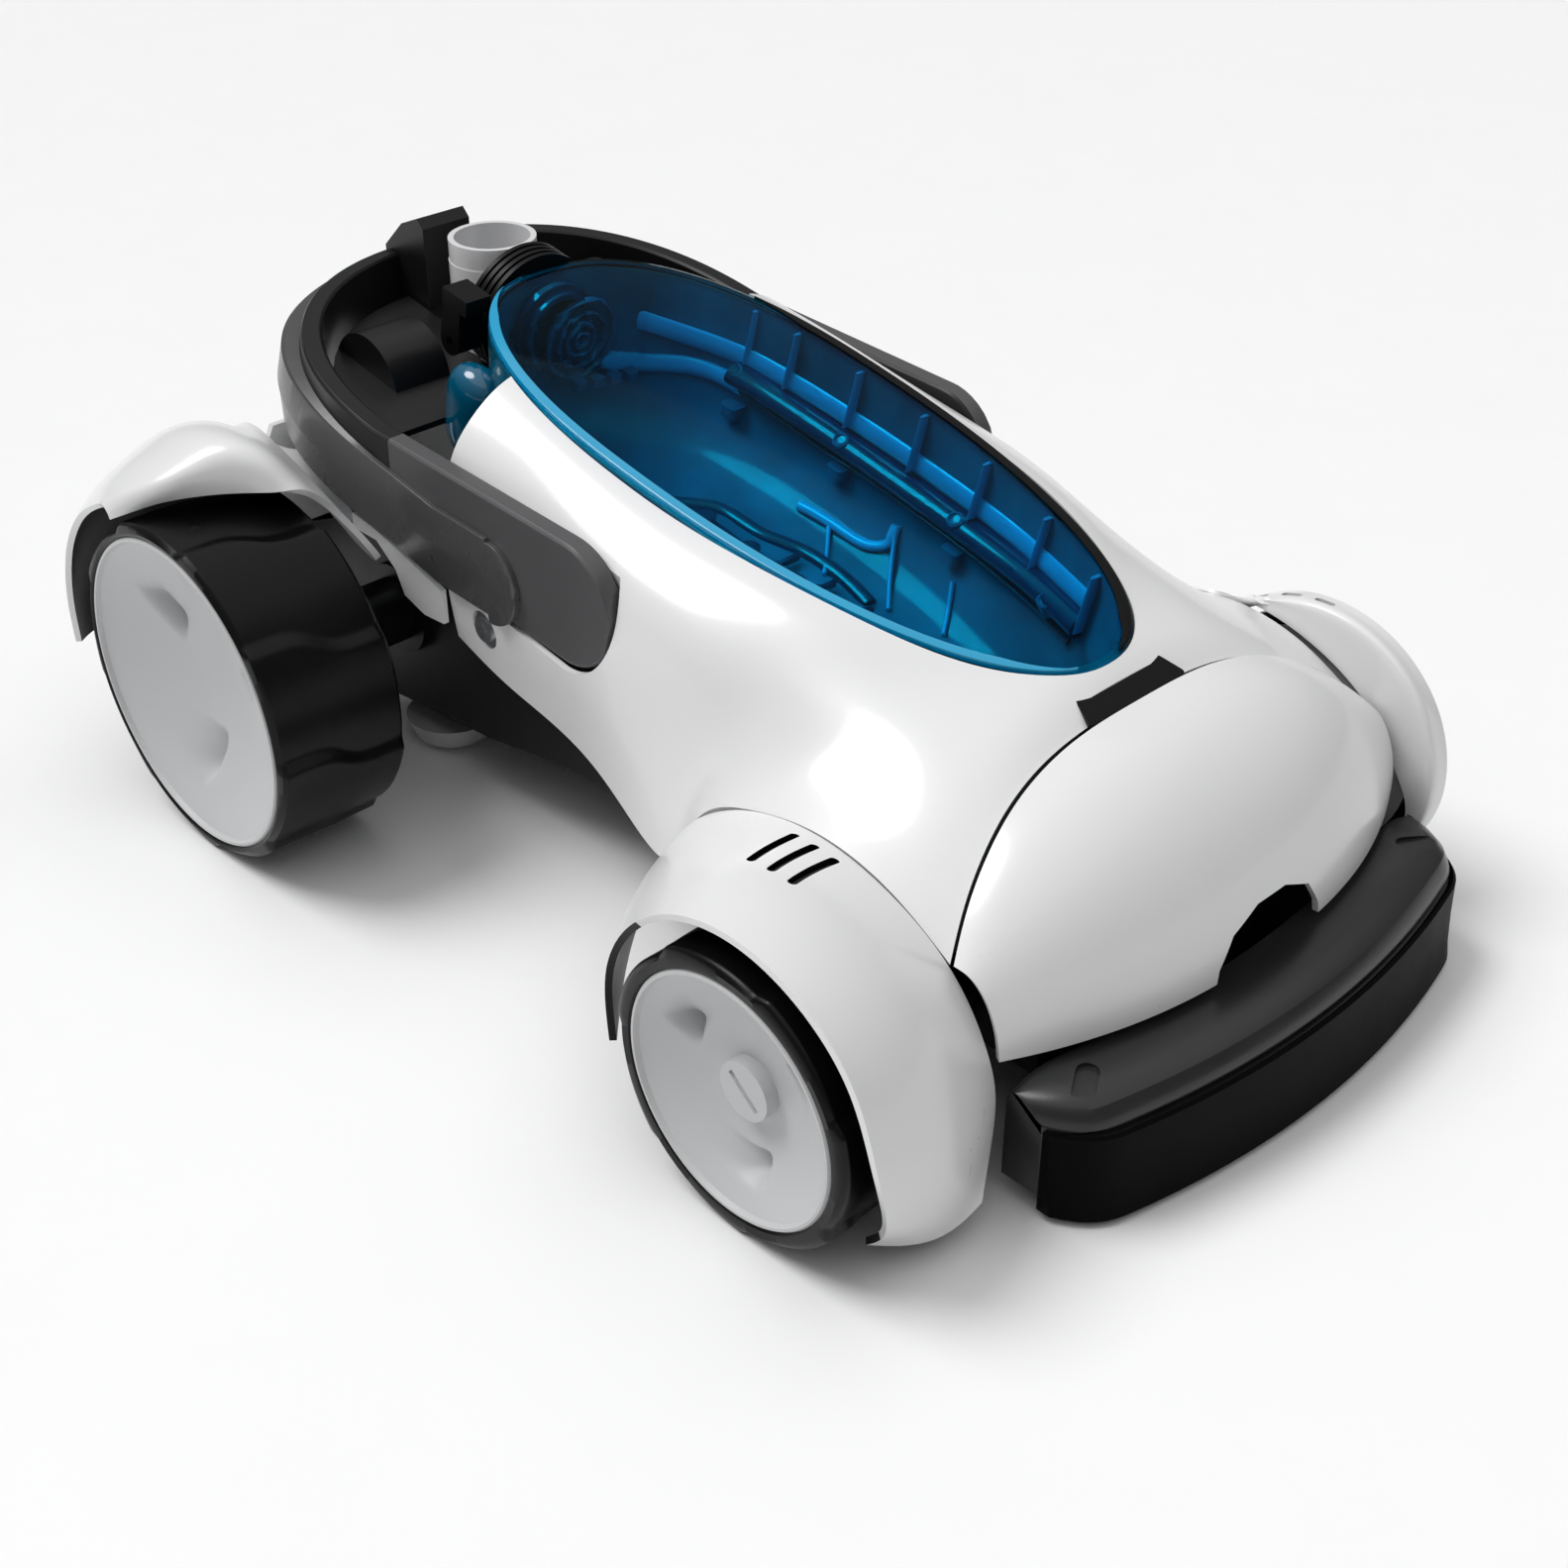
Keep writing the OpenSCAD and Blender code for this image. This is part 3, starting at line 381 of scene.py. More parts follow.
white = Finish("gloss_white", (0.82, 0.82, 0.825), 0.30, vary=0.012, bump=0.015, coat=0.30)
hub_grey = Finish("hub_grey", (0.56, 0.565, 0.57), 0.40, vary=0.03, bump=0.03, ior=1.35)
black = Finish("black_plastic", (0.004, 0.004, 0.0043), 0.36, vary=0.2, bump=0.06, ior=1.25)
deck_black = Finish("deck_black", (0.010, 0.010, 0.011), 0.34, vary=0.2, bump=0.05, ior=1.35)
bumper_black = Finish("bumper_black", (0.016, 0.016, 0.0165), 0.30, vary=0.12, bump=0.05, ior=1.5)
charcoal = Finish("charcoal", (0.070, 0.070, 0.072), 0.28, vary=0.08, bump=0.03, ior=1.5)
charcoal_light = Finish("charcoal_light", (0.085, 0.085, 0.088), 0.32, vary=0.06, bump=0.03)
tyre_black = Finish("tyre_rubber", (0.003, 0.003, 0.0031), 0.30, vary=0.15, bump=0.08,
                    grain=1400, ior=1.28)
silver = Finish("tube_silver", (0.80, 0.80, 0.81), 0.20, vary=0.02, bump=0.01, coat=0.4)
steel = Finish("steel", (0.55, 0.56, 0.58), 0.30, vary=0.06, bump=0.05, metal=1.0)
gear_white = Finish("drive_plastic", (0.62, 0.60, 0.52), 0.45, vary=0.05, bump=0.04)
soft_rubber = Finish("soft_rubber", (0.002, 0.002, 0.002), 0.45, vary=0.2, bump=0.08, ior=1.12)
grey_plastic = Finish("grey_plastic", (0.010, 0.010, 0.011), 0.45, vary=0.08, bump=0.05, ior=1.3)
pad_grey = Finish("pad_grey", (0.52, 0.52, 0.53), 0.45, vary=0.06, bump=0.05)
lid_blue = tinted_clear("lid_clear_blue", (0.012, 0.66, 0.84), ior=1.10)
screen_blue = tinted_clear("screen_clear_blue", (0.80, 0.96, 1.0), ior=1.02)
bowl_blue = Finish("bowl_blue", (0.0, 0.11, 0.19), 0.14, vary=0.8, bump=0.01, coat=0.3,
                   patch=22, ior=1.3)
mid_blue = Finish("mid_blue", (0.0, 0.10, 0.19), 0.12, vary=0.35, bump=0.01, coat=0.6)
# Pale cyan as painted highlight, on the ribs in the bowl and on the near bevel of the lid
highlight_blue = Finish("highlight_blue", (0.0, 0.34, 0.60), 0.16, vary=0.2, bump=0.01, coat=0.4)
inner_blue = Finish("inner_blue", (0.0, 0.018, 0.055), 0.14, vary=0.3, bump=0.01, coat=0.6)
deep_blue = Finish("deep_blue", (0.0, 0.025, 0.06), 0.10, vary=0.3, bump=0.01, coat=0.6)


def paint_followed(piece, finish):
    """Gives a second finish to the side of a shell that follows its grid."""
    piece.data.materials.append(finish.material)
    for face, followed in zip(piece.data.polygons, piece.data.attributes["followed"].data):
        if followed.value:
            face.material_index = len(piece.data.materials) - 1


def paint_where(piece, finish, test):
    """Gives a second finish to the faces whose centre and normal pass the test."""
    piece.data.materials.append(finish.material)
    for face in piece.data.polygons:
        if test(np.array(face.center) / MM - [0, BODY_Y, 0], np.array(face.normal)):
            face.material_index = len(piece.data.materials) - 1


def dress(piece, finish):
    """Gives the piece this finish alone."""
    piece.data.materials.clear()
    piece.data.materials.append(finish.material)


def finish_piece(piece, body, finish, slot, *nodes):
    """Finish and body of a piece, and the CAD nodes it stands in for. The slot is not used."""
    dress(piece, finish)
    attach(piece, body)
    if nodes:
        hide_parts(*nodes)


# ---------- white covers ----------
def hood_edge(y):
    """A point of the joint between the body and the hood."""
    z = HOOD_Z - 42 * abs(y / SEAM_Y) ** 3
    return [HOOD_X + 0.524 * (HOOD_Z - z), y, z]


# Cross rows of the body from the rear to the hood, each from the middle plane to the lower edge
body_half = [
    [[-102, 0, 189], [-102, 35, 188], [-102, 63, 184], [-102, 80, 176],
     [-102, 94, 162], [-102, 100, 142], [-102, 103, 112], [-102, 100, 81]],
    [[-63, 0, 183], [-63, 38, 181], [-63, 70, 174.5], [-63, 84, 167],
     [-63, 96, 154], [-63, 103, 135], [-63, 106, 108], [-63, 102, 72]],
    [[-11, 0, 174], [-11, 38, 171], [-11, 71, 163.5], [-11, 85, 157],
     [-11, 97, 147], [-11, 105, 130], [-11, 109, 104], [-11, 105, 62]],
    [[33, 0, 166], [33, 37, 163.5], [33, 67, 157], [34, 81, 151],
     [35, 94, 141], [37, 103, 124], [39.5, 109.5, 92], [42, 117, 52]],
    [[72, 0, 157], [72, 34, 155], [72, 61, 150.5], [70, 76, 144.5],
     [68, 89, 134], [66, 98.5, 120], [64, 107.5, 100], [62.3, 117, 79.3]],
    [[106, 0, 149], [106, 28, 147.5], [106, 50, 143], [103, 67, 137.5],
     [100, 83, 129], [96.5, 96, 117.5], [93, 107.5, 106], [90.5, 117, 97.3]],
    [[134, 0, 140.5], [134, 20, 139.5], [134, 38, 136.5], [131.5, 58, 132.5],
     [129, 77, 125.5], [127, 93, 116.5], [125, 106.5, 109], [123.4, 117, 104]],
    [[151, 0, 134], [151, 22, 133], [151.5, 42, 130.5], [152.5, 61, 126],
     [154, 79, 118.5], [155, 94.5, 110.5], [156, 107, 103.5], [156.5, 117, 98.5]],
    [hood_edge(y) for y in (0, 25, 45, 62, 79, 95, 107, 117)],
]


def arm_outline(grow, side):
    """Outline of a handle arm in X and Z, grown by its gap, with Y at side."""
    r = ARM_R + grow
    out = [(r * math.cos(a), r * math.sin(a))
           for a in np.linspace(-math.pi / 2, math.pi / 2, 33)]
    out += [(-80, 31 + grow), (-128, 34 + grow), (-128, -10 - grow), (-78, -20 - grow),
            (-36, -22 - grow)]
    return np.array([[PIVOT[0] + x, side, PIVOT[2] + z] for x, z in out])


def disc(name, at, radius, direction, depth, count=48):
    """A cylinder that starts at a place and runs along a direction."""
    direction = Vector(direction).normalized()
    u = direction.orthogonal().normalized()
    v = direction.cross(u)
    outline = [np.array(at) + radius * (math.cos(a) * np.array(u) + math.sin(a) * np.array(v))
               for a in np.linspace(0, 2 * math.pi, count, endpoint=False)]
    return prism(name, outline, np.array(direction), depth, 0)


def make_top_shell():
    """The body's cover, with openings for canister, arms, screws and finger."""
    rim_gap, arm_gap = 1.0, 1.2
    screw_x, screw_z, screw_hole = -77.5, 95.5, 8.2
    grid = surface_through([both_halves(row) for row in body_half], 150, 241)
    piece = shell("top_cover", grid)
    cutters = [prism("c", from_rim(rim_outline(rim_gap, RIM_POINTS)), RIM_UP, 120, -70)]
    for side in (-1, 1):
        outward = [0, side, 0]
        cutters.append(prism("c", arm_outline(arm_gap, side * 96.5), outward, 40, 0))
        cutters.append(disc("c", [screw_x, side * 90, screw_z], screw_hole, outward, 30))
    notch = [[-26, 1], [-21, -6.5], [21, -6.5], [26, 1], [24, 12], [-24, 12]]
    cutters.append(prism("c", [[HOOD_X + x, y, 100] for y, x in notch], [0, 0, 1], 60, 0))
    cut_away(piece, cutters)
    bevel(piece, 0.5, 2)
    finish_piece(piece, "chassis", white, "gloss_white", "top_shell")


def make_hood():
    """The nose dome: quarter turns of an ellipse from its joint down to its lower edge."""
    half = []
    for y in (0, 20, 40, 60, 78, 94, 106, 116.4):
        top = np.array(hood_edge(y)) + [2.4, 0, -1.2]
        foot_y = y * 0.97
        foot = np.array([230 - 26 * (foot_y / 113) ** 2.3, foot_y, 52.6])
        half.append([[top[0] + (foot[0] - top[0]) * math.sin(math.radians(q)),
                      top[1] + (foot[1] - top[1]) * q / 90,
                      foot[2] + (top[2] - foot[2]) * math.cos(math.radians(q))]
                     for q in range(0, 91, 15)])
    columns = np.swapaxes(np.array(half), 0, 1)
    grid = surface_through([both_halves(row) for row in columns], 70, 161)
    piece = shell("nose_cover", grid[:, ::-1])
    notch = [[-31, 46], [-29, 58], [-22, 69], [-8, 75], [8, 75], [22, 69], [29, 58], [31, 46]]
    cut_away(piece, [prism("c", [[205, y, z] for y, z in notch], [1, 0, 0], 60, 0)])
    bevel(piece, 0.5, 2)
    finish_piece(piece, "chassis", white, "gloss_white", "nose_hood")


# Joint of an arch with the body, from the rear over the wheel to the front
seam = [[42, 117, 52], [62.3, 117, 79.3], [90.5, 117, 97.3], [123.4, 117, 104],
        [156.5, 117, 98.5], [185.5, 117, 83], [202, 117, 62], [210, 118.5, 44],
        [214, 124, 27], [220, 134, 13]]


def arch_angle(i):
    """Angle about the front axle of the joint's point i."""
    return math.radians(193 - 237 * i / 9)


def lip_point(i, r, y):
    """Point i of an arch at a radius from the axle, no lower than the arch's foot."""
    a = arch_angle(i)
    return np.array([front_axle[0] + r * math.cos(a), y,
                     max(13, front_axle[2] + r * math.sin(a))])


def make_broad_arch():
    """The right arch, which swells from its joint out to the free edge over the wheel."""
    grid = []
    for i, edge in enumerate(seam):
        a = arch_angle(i)
        start = np.array(edge) + [0, 0.8, 0]
        lip = lip_point(i, 64.5, 190 if i < 8 else 190 - (i - 7) * 7)
        out = np.array([math.cos(a), 0, math.sin(a)])
        grid.append([start + (lip - start) * j / 4 + 6 * math.sin(math.pi * j / 4) * out
                     for j in range(5)])
    grid = surface_through(np.array(grid), 120, 50)
    grid[:, :, 1] *= -1
    piece = shell("wheel_arch_right", grid[:, ::-1])
    cosine, sine = math.cos(VENT_TURN), math.sin(VENT_TURN)
    cutters = []
    for k in range(VENTS):
        outline = [[VENT_X + VENT_PITCH * k + x * cosine - y * sine,
                    -VENT_Y - x * sine - y * cosine, 90]
                   for x, y in stadium(3.4, 32)]
        cutters.append(prism("c", outline, [0, 0, 1], 50, 0))
    cut_away(piece, cutters)
    bevel(piece, 0.7, 3)
    finish_piece(piece, "chassis", white, "gloss_white", "fairing_right")

    def is_vent_shade_or_inner_side(p, n):
        """Whether a face is a wall of a vent, black as painted shade in the slot, or looks at the
        wheel.
        """
        for k in range(VENTS):
            x, y = p[0] - VENT_X - VENT_PITCH * k, -p[1] - VENT_Y
            u = x * cosine + y * sine
            v = -x * sine + y * cosine
            if abs(u) < 2.2 and abs(v) < 16.6 and n[2] < 0.5:
                return True
        return (p[0] - front_axle[0]) * n[0] + (p[2] - front_axle[2]) * n[2] < -25

    # The vent walls are painted black as shade in the slots; the side toward the wheel is black too
    paint_where(piece, black, is_vent_shade_or_inner_side)


def make_narrow_arch():
    """The slim left arch, with three short vents on its edge."""
    edges = seam[:8] + [[208, 118, 28], [205, 118, 14]]
    grid = []
    for i, edge in enumerate(edges):
        start = np.array(edge) + [0, 3, 0]
        lip = lip_point(i, 58.6, 121)
        grid.append([start, (start + lip) / 2, lip, lip_point(i, 59.1, 126.5),
                     lip_point(i, 58.6, 132)])
    piece = shell("wheel_arch_left", surface_through(np.array(grid), 120, 40), 1.6)
    cutters = [prism("c", [[x0 + x, 126.5 + y, 90] for y, x in stadium(3, 9)], [0, 0, 1], 50, 0)
               for x0 in (128, 143, 158)]
    cut_away(piece, cutters)
    bevel(piece, 0.4, 2)
    finish_piece(piece, "chassis", white, "gloss_white", "fairing_left")


FENDER_BACK = math.radians(187)
# Rows of the right rear fender from the outside in: distance from the middle plane, crease and
# lip in x and z from the axle, and radius of the back edge
fender_rows = [
    [198.9, -36, 70, -33, 67, 85], [194, -26, 77, -26, 72, 89], [185, -14, 84, -16, 77, 94],
    [172, -8, 90, -5, 78.5, 99], [160, 0, 93, 6, 79, 102], [148, 2, 88, 18, 78, 103],
    [136, -24, 82, 14, 69, 101], [124, -46, 74, 14, 54, 99], [113, -64, 61, 16, 35, 94],
    [105, -60, 54, -16, 33, 89], [96, -56, 50, -22, 31, 89]]


def make_right_fender():
    """The broad fender, from its back edge over the crease to the lip above the wheel."""
    grid = []
    for y, cx, cz, lx, lz, back in reversed(fender_rows):
        crease_r, crease_a = math.hypot(cx, cz), math.atan2(cz, cx)
        row = []
        for k in range(7):
            t = k / 6
            a = FENDER_BACK + (crease_a - FENDER_BACK) * t
            r = back + (crease_r - back) * t ** 2.2
            row.append([rear_axle[0] + r * math.cos(a), y, rear_axle[2] + r * math.sin(a)])
        row.append([rear_axle[0] + lx, y, rear_axle[2] + lz])
        grid.append(row)
    grid = surface_through(np.array(grid), 110, 90)
    grid[:, :, 1] *= -1
    piece = shell("rear_fender_right", grid[:, ::-1])
    bevel(piece, 0.8, 3)
    finish_piece(piece, "chassis", white, "gloss_white", "fender_right")
    paint_followed(piece, black)


def guard_points(radius, y, start, end, count=60):
    """An arc about the rear axle between two angles in degrees."""
    a = np.radians(np.linspace(start, end, count))
    return np.stack([rear_axle[0] + radius * np.cos(a), np.full(count, float(y)),
                     rear_axle[2] + radius * np.sin(a)], 1)


def make_left_fender():
    """Two stretches of a round guard: over the tyre, and a shorter one on the body's side."""
    parts = []
    for low, high, start in ((113.3, 138, 114), (95, 113.3, 150)):
        grid = np.stack([guard_points(r, y, start, 186)
                         for y, r in ((low, 78), ((low + high) / 2, 78), (high - 1.5, 77.8),
                                      (high, 77.2))], 1)
        parts.append(shell("guard", grid[:, ::-1]))
    piece = join("rear_fender_left", parts)
    bevel(piece, 0.5, 2)
    finish_piece(piece, "chassis", white, "gloss_white", "fender_left")


make_top_shell()
make_hood()
make_broad_arch()
make_narrow_arch()
make_right_fender()
make_left_fender()


# ---------- handle ----------
def handle_low(x):
    """Lower edge of the bar."""
    return np.interp(x, [-262, -225, -170, -100, -58, -22], [139, 139, 126.5, 110, 108, 104])


def handle_high(x):
    """Upper edge of the bar."""
    return np.interp(x, [-261, -140, -22], [183, 162, 156])


def arm_limits(x):
    """Lower and upper edge of the bar at x, with the round front end."""
    if x > PIVOT[0]:
        half = math.sqrt(max(0.4, ARM_R ** 2 - (x - PIVOT[0]) ** 2))
        return PIVOT[2] - half, PIVOT[2] + half
    return float(handle_low(x)), float(handle_high(x))


def plan(u, half_w, long, q, front):
    """Plan curve of the handle: u from 0 at the front of an arm to 1 at the back middle."""
    if u < BEND_U:
        return np.array([front + (BEND_X - front) * u / BEND_U, half_w])
    a = math.pi / 2 * (1 + (u - BEND_U) / (1 - BEND_U))
    return np.array([BEND_X - long * abs(math.cos(a)) ** (2 / q),
                     half_w * abs(math.sin(a)) ** (2 / q)])


def full_path(steps):
    """Pairs of u and side, right arm first, round the back, to the left arm."""
    u = np.linspace(0, 1, steps)
    return [(v, -1) for v in u] + [(v, 1) for v in u[-2::-1]]


def flared(outer, grip, u):
    """Foot of a section, which spreads toward the line of the grip round the back."""
    return outer + (grip - outer) * np.interp(u, [0, 0.35, 0.6], [0, 0, 0.6])


def make_bar():
    """The bar of the handle, with the slot of the latch at the back."""
    front = PIVOT[0] + ARM_R - 0.1
    chamfer = 1.2
    rings = []
    for u, side in full_path(90):
        outer = plan(u, BAR_Y, 118.4, 2.3, front)
        inner = plan(u, BAR_INNER_Y, 110, 2.3, front)
        foot = flared(outer, plan(u, GRIP_Y, 122.3, 3, front), u)
        low, high = arm_limits(outer[0])
        t = chamfer / np.linalg.norm(inner - outer)
        tip = min(chamfer, (high - low) / 4)
        section = []
        for v, z, base in [(0, low + tip, foot), (0, high - tip, outer), (t, high, outer),
                           (0.5, high, outer), (1 - t, high, outer), (1, high - tip, outer),
                           (1, low + tip, outer), (1 - t, low, outer), (t, low, foot)]:
            p = base + (inner - base) * v
            section.append([p[0], side * p[1], z])
        rings.append(section)
    bar = loft("handle_bar_piece", rings)
    slot = [[x, y, 145] for x, y in ((-280, -13), (-280, 13), (-220, 13), (-220, -13))]
    cut_away(bar, [prism("c", slot, [0, 0, 1], 80, 0)])
    bevel(bar, 0.4, 2, 30)
    finish_piece(bar, "handle", charcoal_light, "charcoal", "handle_bar")
    paint_where(bar, deck_black, lambda p, n: p[0] < -130 or abs(n[1]) > 0.5 and n[1] * p[1] < 0)


def band_section(foot, outer, grip, low, top, side):
    """Section of a band, which bulges from the bar's line out to the grip's."""
    crease = low + (top - low) * 0.5
    tip = min(1.0, (top - low) / 5)
    spread = grip - foot
    out = []
    for p, z in [(foot, low), (foot + spread * 0.75, low), (foot + spread * 0.9, low + tip),
                 (foot + spread * 0.94, crease - 0.5), (grip, crease + 0.1),
                 (outer + (grip - outer) * 0.72, top - tip), (outer + (grip - outer) * 0.6, top),
                 (outer, top)]:
        out.append([p[0], side * p[1], z])
    return out


def make_band(name, node, side):
    """The band on the outer side of an arm, from its round tip to the latch."""
    tip_x, tip_z, tip_r = -66, 122.4, 17.5
    rings = []
    for x in tip_x + 17.3 * np.cos(np.linspace(0, math.pi / 2, 14)):
        half = math.sqrt(tip_r ** 2 - (x - tip_x) ** 2)
        rings.append(band_section(np.array([x, BAR_Y]), np.array([x, BAR_Y]),
                                  np.array([x, GRIP_Y]), tip_z - half, tip_z + half, side))
    for u in np.linspace(0.16, 0.978, 80):
        outer = plan(u, BAR_Y, 119, 2.3, PIVOT[0])
        if outer[0] > tip_x - 0.5:
            continue
        grip = plan(u, GRIP_Y, 122.3, 3, PIVOT[0])
        low, high = arm_limits(outer[0])
        rise = np.interp(u, [0.3, 0.6, 1], [0.66, 0.8, 0.9])
        rings.append(band_section(flared(outer, grip, u), outer, grip, low,
                                  low + (high - low) * rise, side))
    band = loft(name, rings)
    bevel(band, 0.35, 2, 30)
    finish_piece(band, "handle", charcoal, "charcoal", node)


make_bar()
make_band("grip_band_right", "grip_right", -1)
make_band("grip_band_left", "grip_left", 1)


# ---------- wheels ----------
AROUND = 360         # points round a wheel
TREAD_STEP = 2.4     # height of a tread step and of the rounded edges
TREAD_RISE = 6.0     # length of the steep side of a step
TREAD_SWAY = 5.5     # how far a step swings to either side of straight across
DENT_DEPTH = 9.0
DENT_SWEEP = math.radians(26)
DENT_AT, DENT_SPAN = 0.44, 0.17    # shares of the way from the rim of a hub to its middle
BROAD_WIDTH = 42     # the dish and dents of the slim left wheels are scaled from this width


def make_tyre(name, node, body, axle, radius, face, width, bore, side, steps, start):
    """A tyre with S-shaped steps across its tread."""
    across = 40
    pitch = 2 * math.pi * radius / steps
    rise = TREAD_RISE / pitch
    rings = []
    for i in range(AROUND):
        a = 2 * math.pi * i / AROUND
        section = [(bore, width - 1), (bore, 1.2), (bore + 0.8, 0.3), (radius - 4, 0)]
        for j in range(across + 1):
            d = 0.8 + (width - 1.6) * j / across
            sway = TREAD_SWAY * math.tanh((d / width - 0.5) * 7)
            arc = (a - start) * radius + sway
            s = (arc / pitch) % 1.0
            drop = TREAD_STEP * (s / rise if s < rise else 1 - (s - rise) / (1 - rise))
            edge = min(d, width - d)
            round_off = TREAD_STEP * max(0, 1 - edge / TREAD_STEP) ** 2
            section.append((radius - drop - round_off, d))
        section.append((radius - 4, width))
        rings.append([(axle[0] + r * math.cos(a), side * (face - d), axle[2] + r * math.sin(a))
                      for r, d in section])
    made = loft(name, rings, caps=False, around=True)
    finish_piece(made, body, tyre_black, "tyre_rubber", node)


def make_hub(name, node, body, axle, face, rim_r, depth, centre_r, dents, side, width, deep):
    """A dished hub with three swept dents."""
    radii = np.concatenate([[rim_r - 0.8, rim_r - 1.8, rim_r - 2.6],
                            np.linspace(rim_r - 3.6, centre_r, 46)])
    back = width - 2 * deep
    rings = []
    for i in range(AROUND):
        a = 2 * math.pi * i / AROUND
        section = [(rim_r - 3, back), (rim_r, back), (rim_r, 1.2)]
        for r in radii:
            t = max(0.0, (rim_r - 2.6 - r) / (rim_r - 2.6 - centre_r))
            d = 0.2 if r > rim_r - 2 else 2.2 + depth * (1 - (1 - t) ** 1.8)
            for turn in dents:
                swept = turn + DENT_SWEEP * (1 - r / rim_r)
                gap = (a - swept + math.pi) % (2 * math.pi) - math.pi
                along = math.exp(-((t - DENT_AT) / DENT_SPAN) ** 4)
                sharp = 1.5 if gap > 0 else 9.0
                d += DENT_DEPTH * deep * along * math.exp(-abs(gap * r / sharp) ** 1.3)
            section.append((r, d))
        section += [(0.02, section[-1][1]), (0.02, back - 2 * deep)]
        rings.append([(axle[0] + r * math.cos(a), side * (face - d), axle[2] + r * math.sin(a))
                      for r, d in section])
    made = loft(name, rings, caps=False, around=True)
    finish_piece(made, body, hub_grey, "hub_grey", node)


def wheel_widths(node):
    """Distance of a wheel's outer face from the middle plane, and its width."""
    low, high = reach(node, 1, 0), reach(node, 1, 1)
    return max(abs(low), abs(high)), high - low


# End, axle, tyre radius, hub radius, depth of the dish, radius of its middle, dents, tread
# steps and the first step, with angles in degrees
WHEELS = (
    ("rear", rear_axle, rear_r, 66, 17, 3, (133, 13, -107), 9, 30),
    ("front", front_axle, front_r, 47, 11, 14, (155, 35, -85), 7, 270 - 3 * 360 / 7),
)
for side, word in ((-1, "right"), (1, "left")):
    for end, axle, radius, hub_r, dish, centre_r, dents, steps, start in WHEELS:
        tyre, hub, body = f"{end}_tyre_{word}", f"{end}_hub_{word}", f"{end}_wheels"
        face, width = wheel_widths(tyre)
        scale = width / BROAD_WIDTH if side > 0 else 1
        make_tyre(f"{tyre}_piece", tyre, body, axle, radius, face, width, hub_r, side,
                  steps, math.radians(start))
        make_hub(f"{hub}_piece", hub, body, axle, face, hub_r, dish * scale, centre_r,
                 [math.radians(v) for v in dents], side, width, scale)


# ---------- canister ----------
# How far the bowl's wall goes out from the rim outline, and its height over the rim
bowl_profile = [[-0.2, -3], [-0.6, -12], [-2, -30], [-5, -50], [-11, -64], [-21, -73], [-34, -77]]


def rim_ring(grow, n):
    return from_rim(rim_outline(grow, RIM_POINTS, n))


def dome(shares, height):
    """Rings of the lid's arched plate, at shares of its outline from the middle."""
    base = rim_outline(-1.2, RIM_POINTS)
    rings = []
    for s in shares:
        p = base.copy()
        p[:, 0] = RIM_X + (p[:, 0] - RIM_X) * s
        p[:, 1] *= s
        p[:, 2] = height + 7.6 * (1 - s ** 2.2)
        rings.append(from_rim(p))
    return rings


def make_canister():
    """The bowl, and the lid with its arched plate."""
    profile = smooth_through(bowl_profile, 26)
    outer = [rim_ring(g, n) for g, n in profile]
    inner = [rim_ring(g - 2.4, n + 2.4) for g, n in profile]
    bowl = loft("bowl_piece", outer[::-1] + [rim_ring(-0.2, -3)] + inner)
    finish_piece(bowl, "canister", bowl_blue, "clear_blue", "canister_bowl")
    edge = [rim_ring(g, n) for g, n in ((-1.5, -2.6), (-0.2, -2.4), (-0.2, -0.6), (-1.2, 0.2))]
    over = dome(np.linspace(1, 0.002, 26)[1:], 0.2)
    under = dome(np.linspace(0.002, 0.955, 26), -2.2)
    lid = loft("lid_piece", edge + over + under + [rim_ring(-3.5, -2.6)], caps=False, around=True)
    finish_piece(lid, "lid", lid_blue, "clear_blue", "canister_lid")


make_canister()


# Mouldings inside the canister, as points of the rim frame. The lines have a width and a height
# These ribs are real mouldings; their pale cyan is painted highlight
HIGHLIT_LINES = [
    (5.0, 2.2, [[-43, 49, -68], [-27, 50, -67], [-12, 50.5, -67], [-3, 51.5, -66], [3, 54, -63],
                [4, 56, -59], [3, 59, -55]]),
    (2.0, 1.5, [[3, 59, -55], [14, 47, -67], [27, 34, -73.5]]),
    (2.0, 1.5, [[-24, 48, -68], [-15, 39, -72], [-6, 29, -74]]),
    (2.0, 1.5, [[41, 54, -58], [48, 46, -67], [54, 38, -71]]),
    (8.0, 2.5, [[-150, 26, -45], [-140, 38, -45], [-127, 47.5, -42], [-111, 54.5, -40],
                [-94, 58.5, -41]]),
    (9.0, 1.6, [[-143, 39, -26], [-106, 57, -27], [-70, 63.5, -27], [-14, 65.5, -27],
                [48, 61, -25], [85, 52.5, -22], [112, 43.5, -19]]),
]
DARK_LINES = [
    (11.0, 9.0, [[-98, 58, -34.5], [-73, 62, -36.5], [-35, 64, -37.5], [2, 63, -37],
                 [36, 61, -36], [79, 53.5, -32], [114, 42, -28]]),
    (3.0, 3.0, [[-94, 58, -42], [-70, 61, -44], [-45, 62.5, -46], [-20, 63, -45.5],
                [6, 62, -45], [42, 59, -44], [83, 51, -41], [110, 42, -39]]),
    (7.0, 2.5, [[-83, 6, -74.5], [-76, 16, -74.5], [-64, 25, -74.5], [-43, 27, -74.5],
                [-24, 33, -74], [0, 34, -73.5], [19, 31, -74]]),
]
FAR_RIBS = [-96, -73, -37, 1, 39, 78, 114]
RAIL_SCREWS = [[-96, 55, -34], [-34, 59, -36], [35, 56, -34], [95, 43, -31]]
BOSSES = [[-95, 54.5, -53], [-34, 60, -52], [36, 57, -51]]
OUTLET = [-150.5, 12, -31]
OUTLET_RINGS = (4, 8.5, 13.5, 19)
POST = [(3.6, -4), (3.6, 3.5), (2.6, 4.2), (2.4, 3.2), (1.2, 3.0), (0.05, 3.0)]


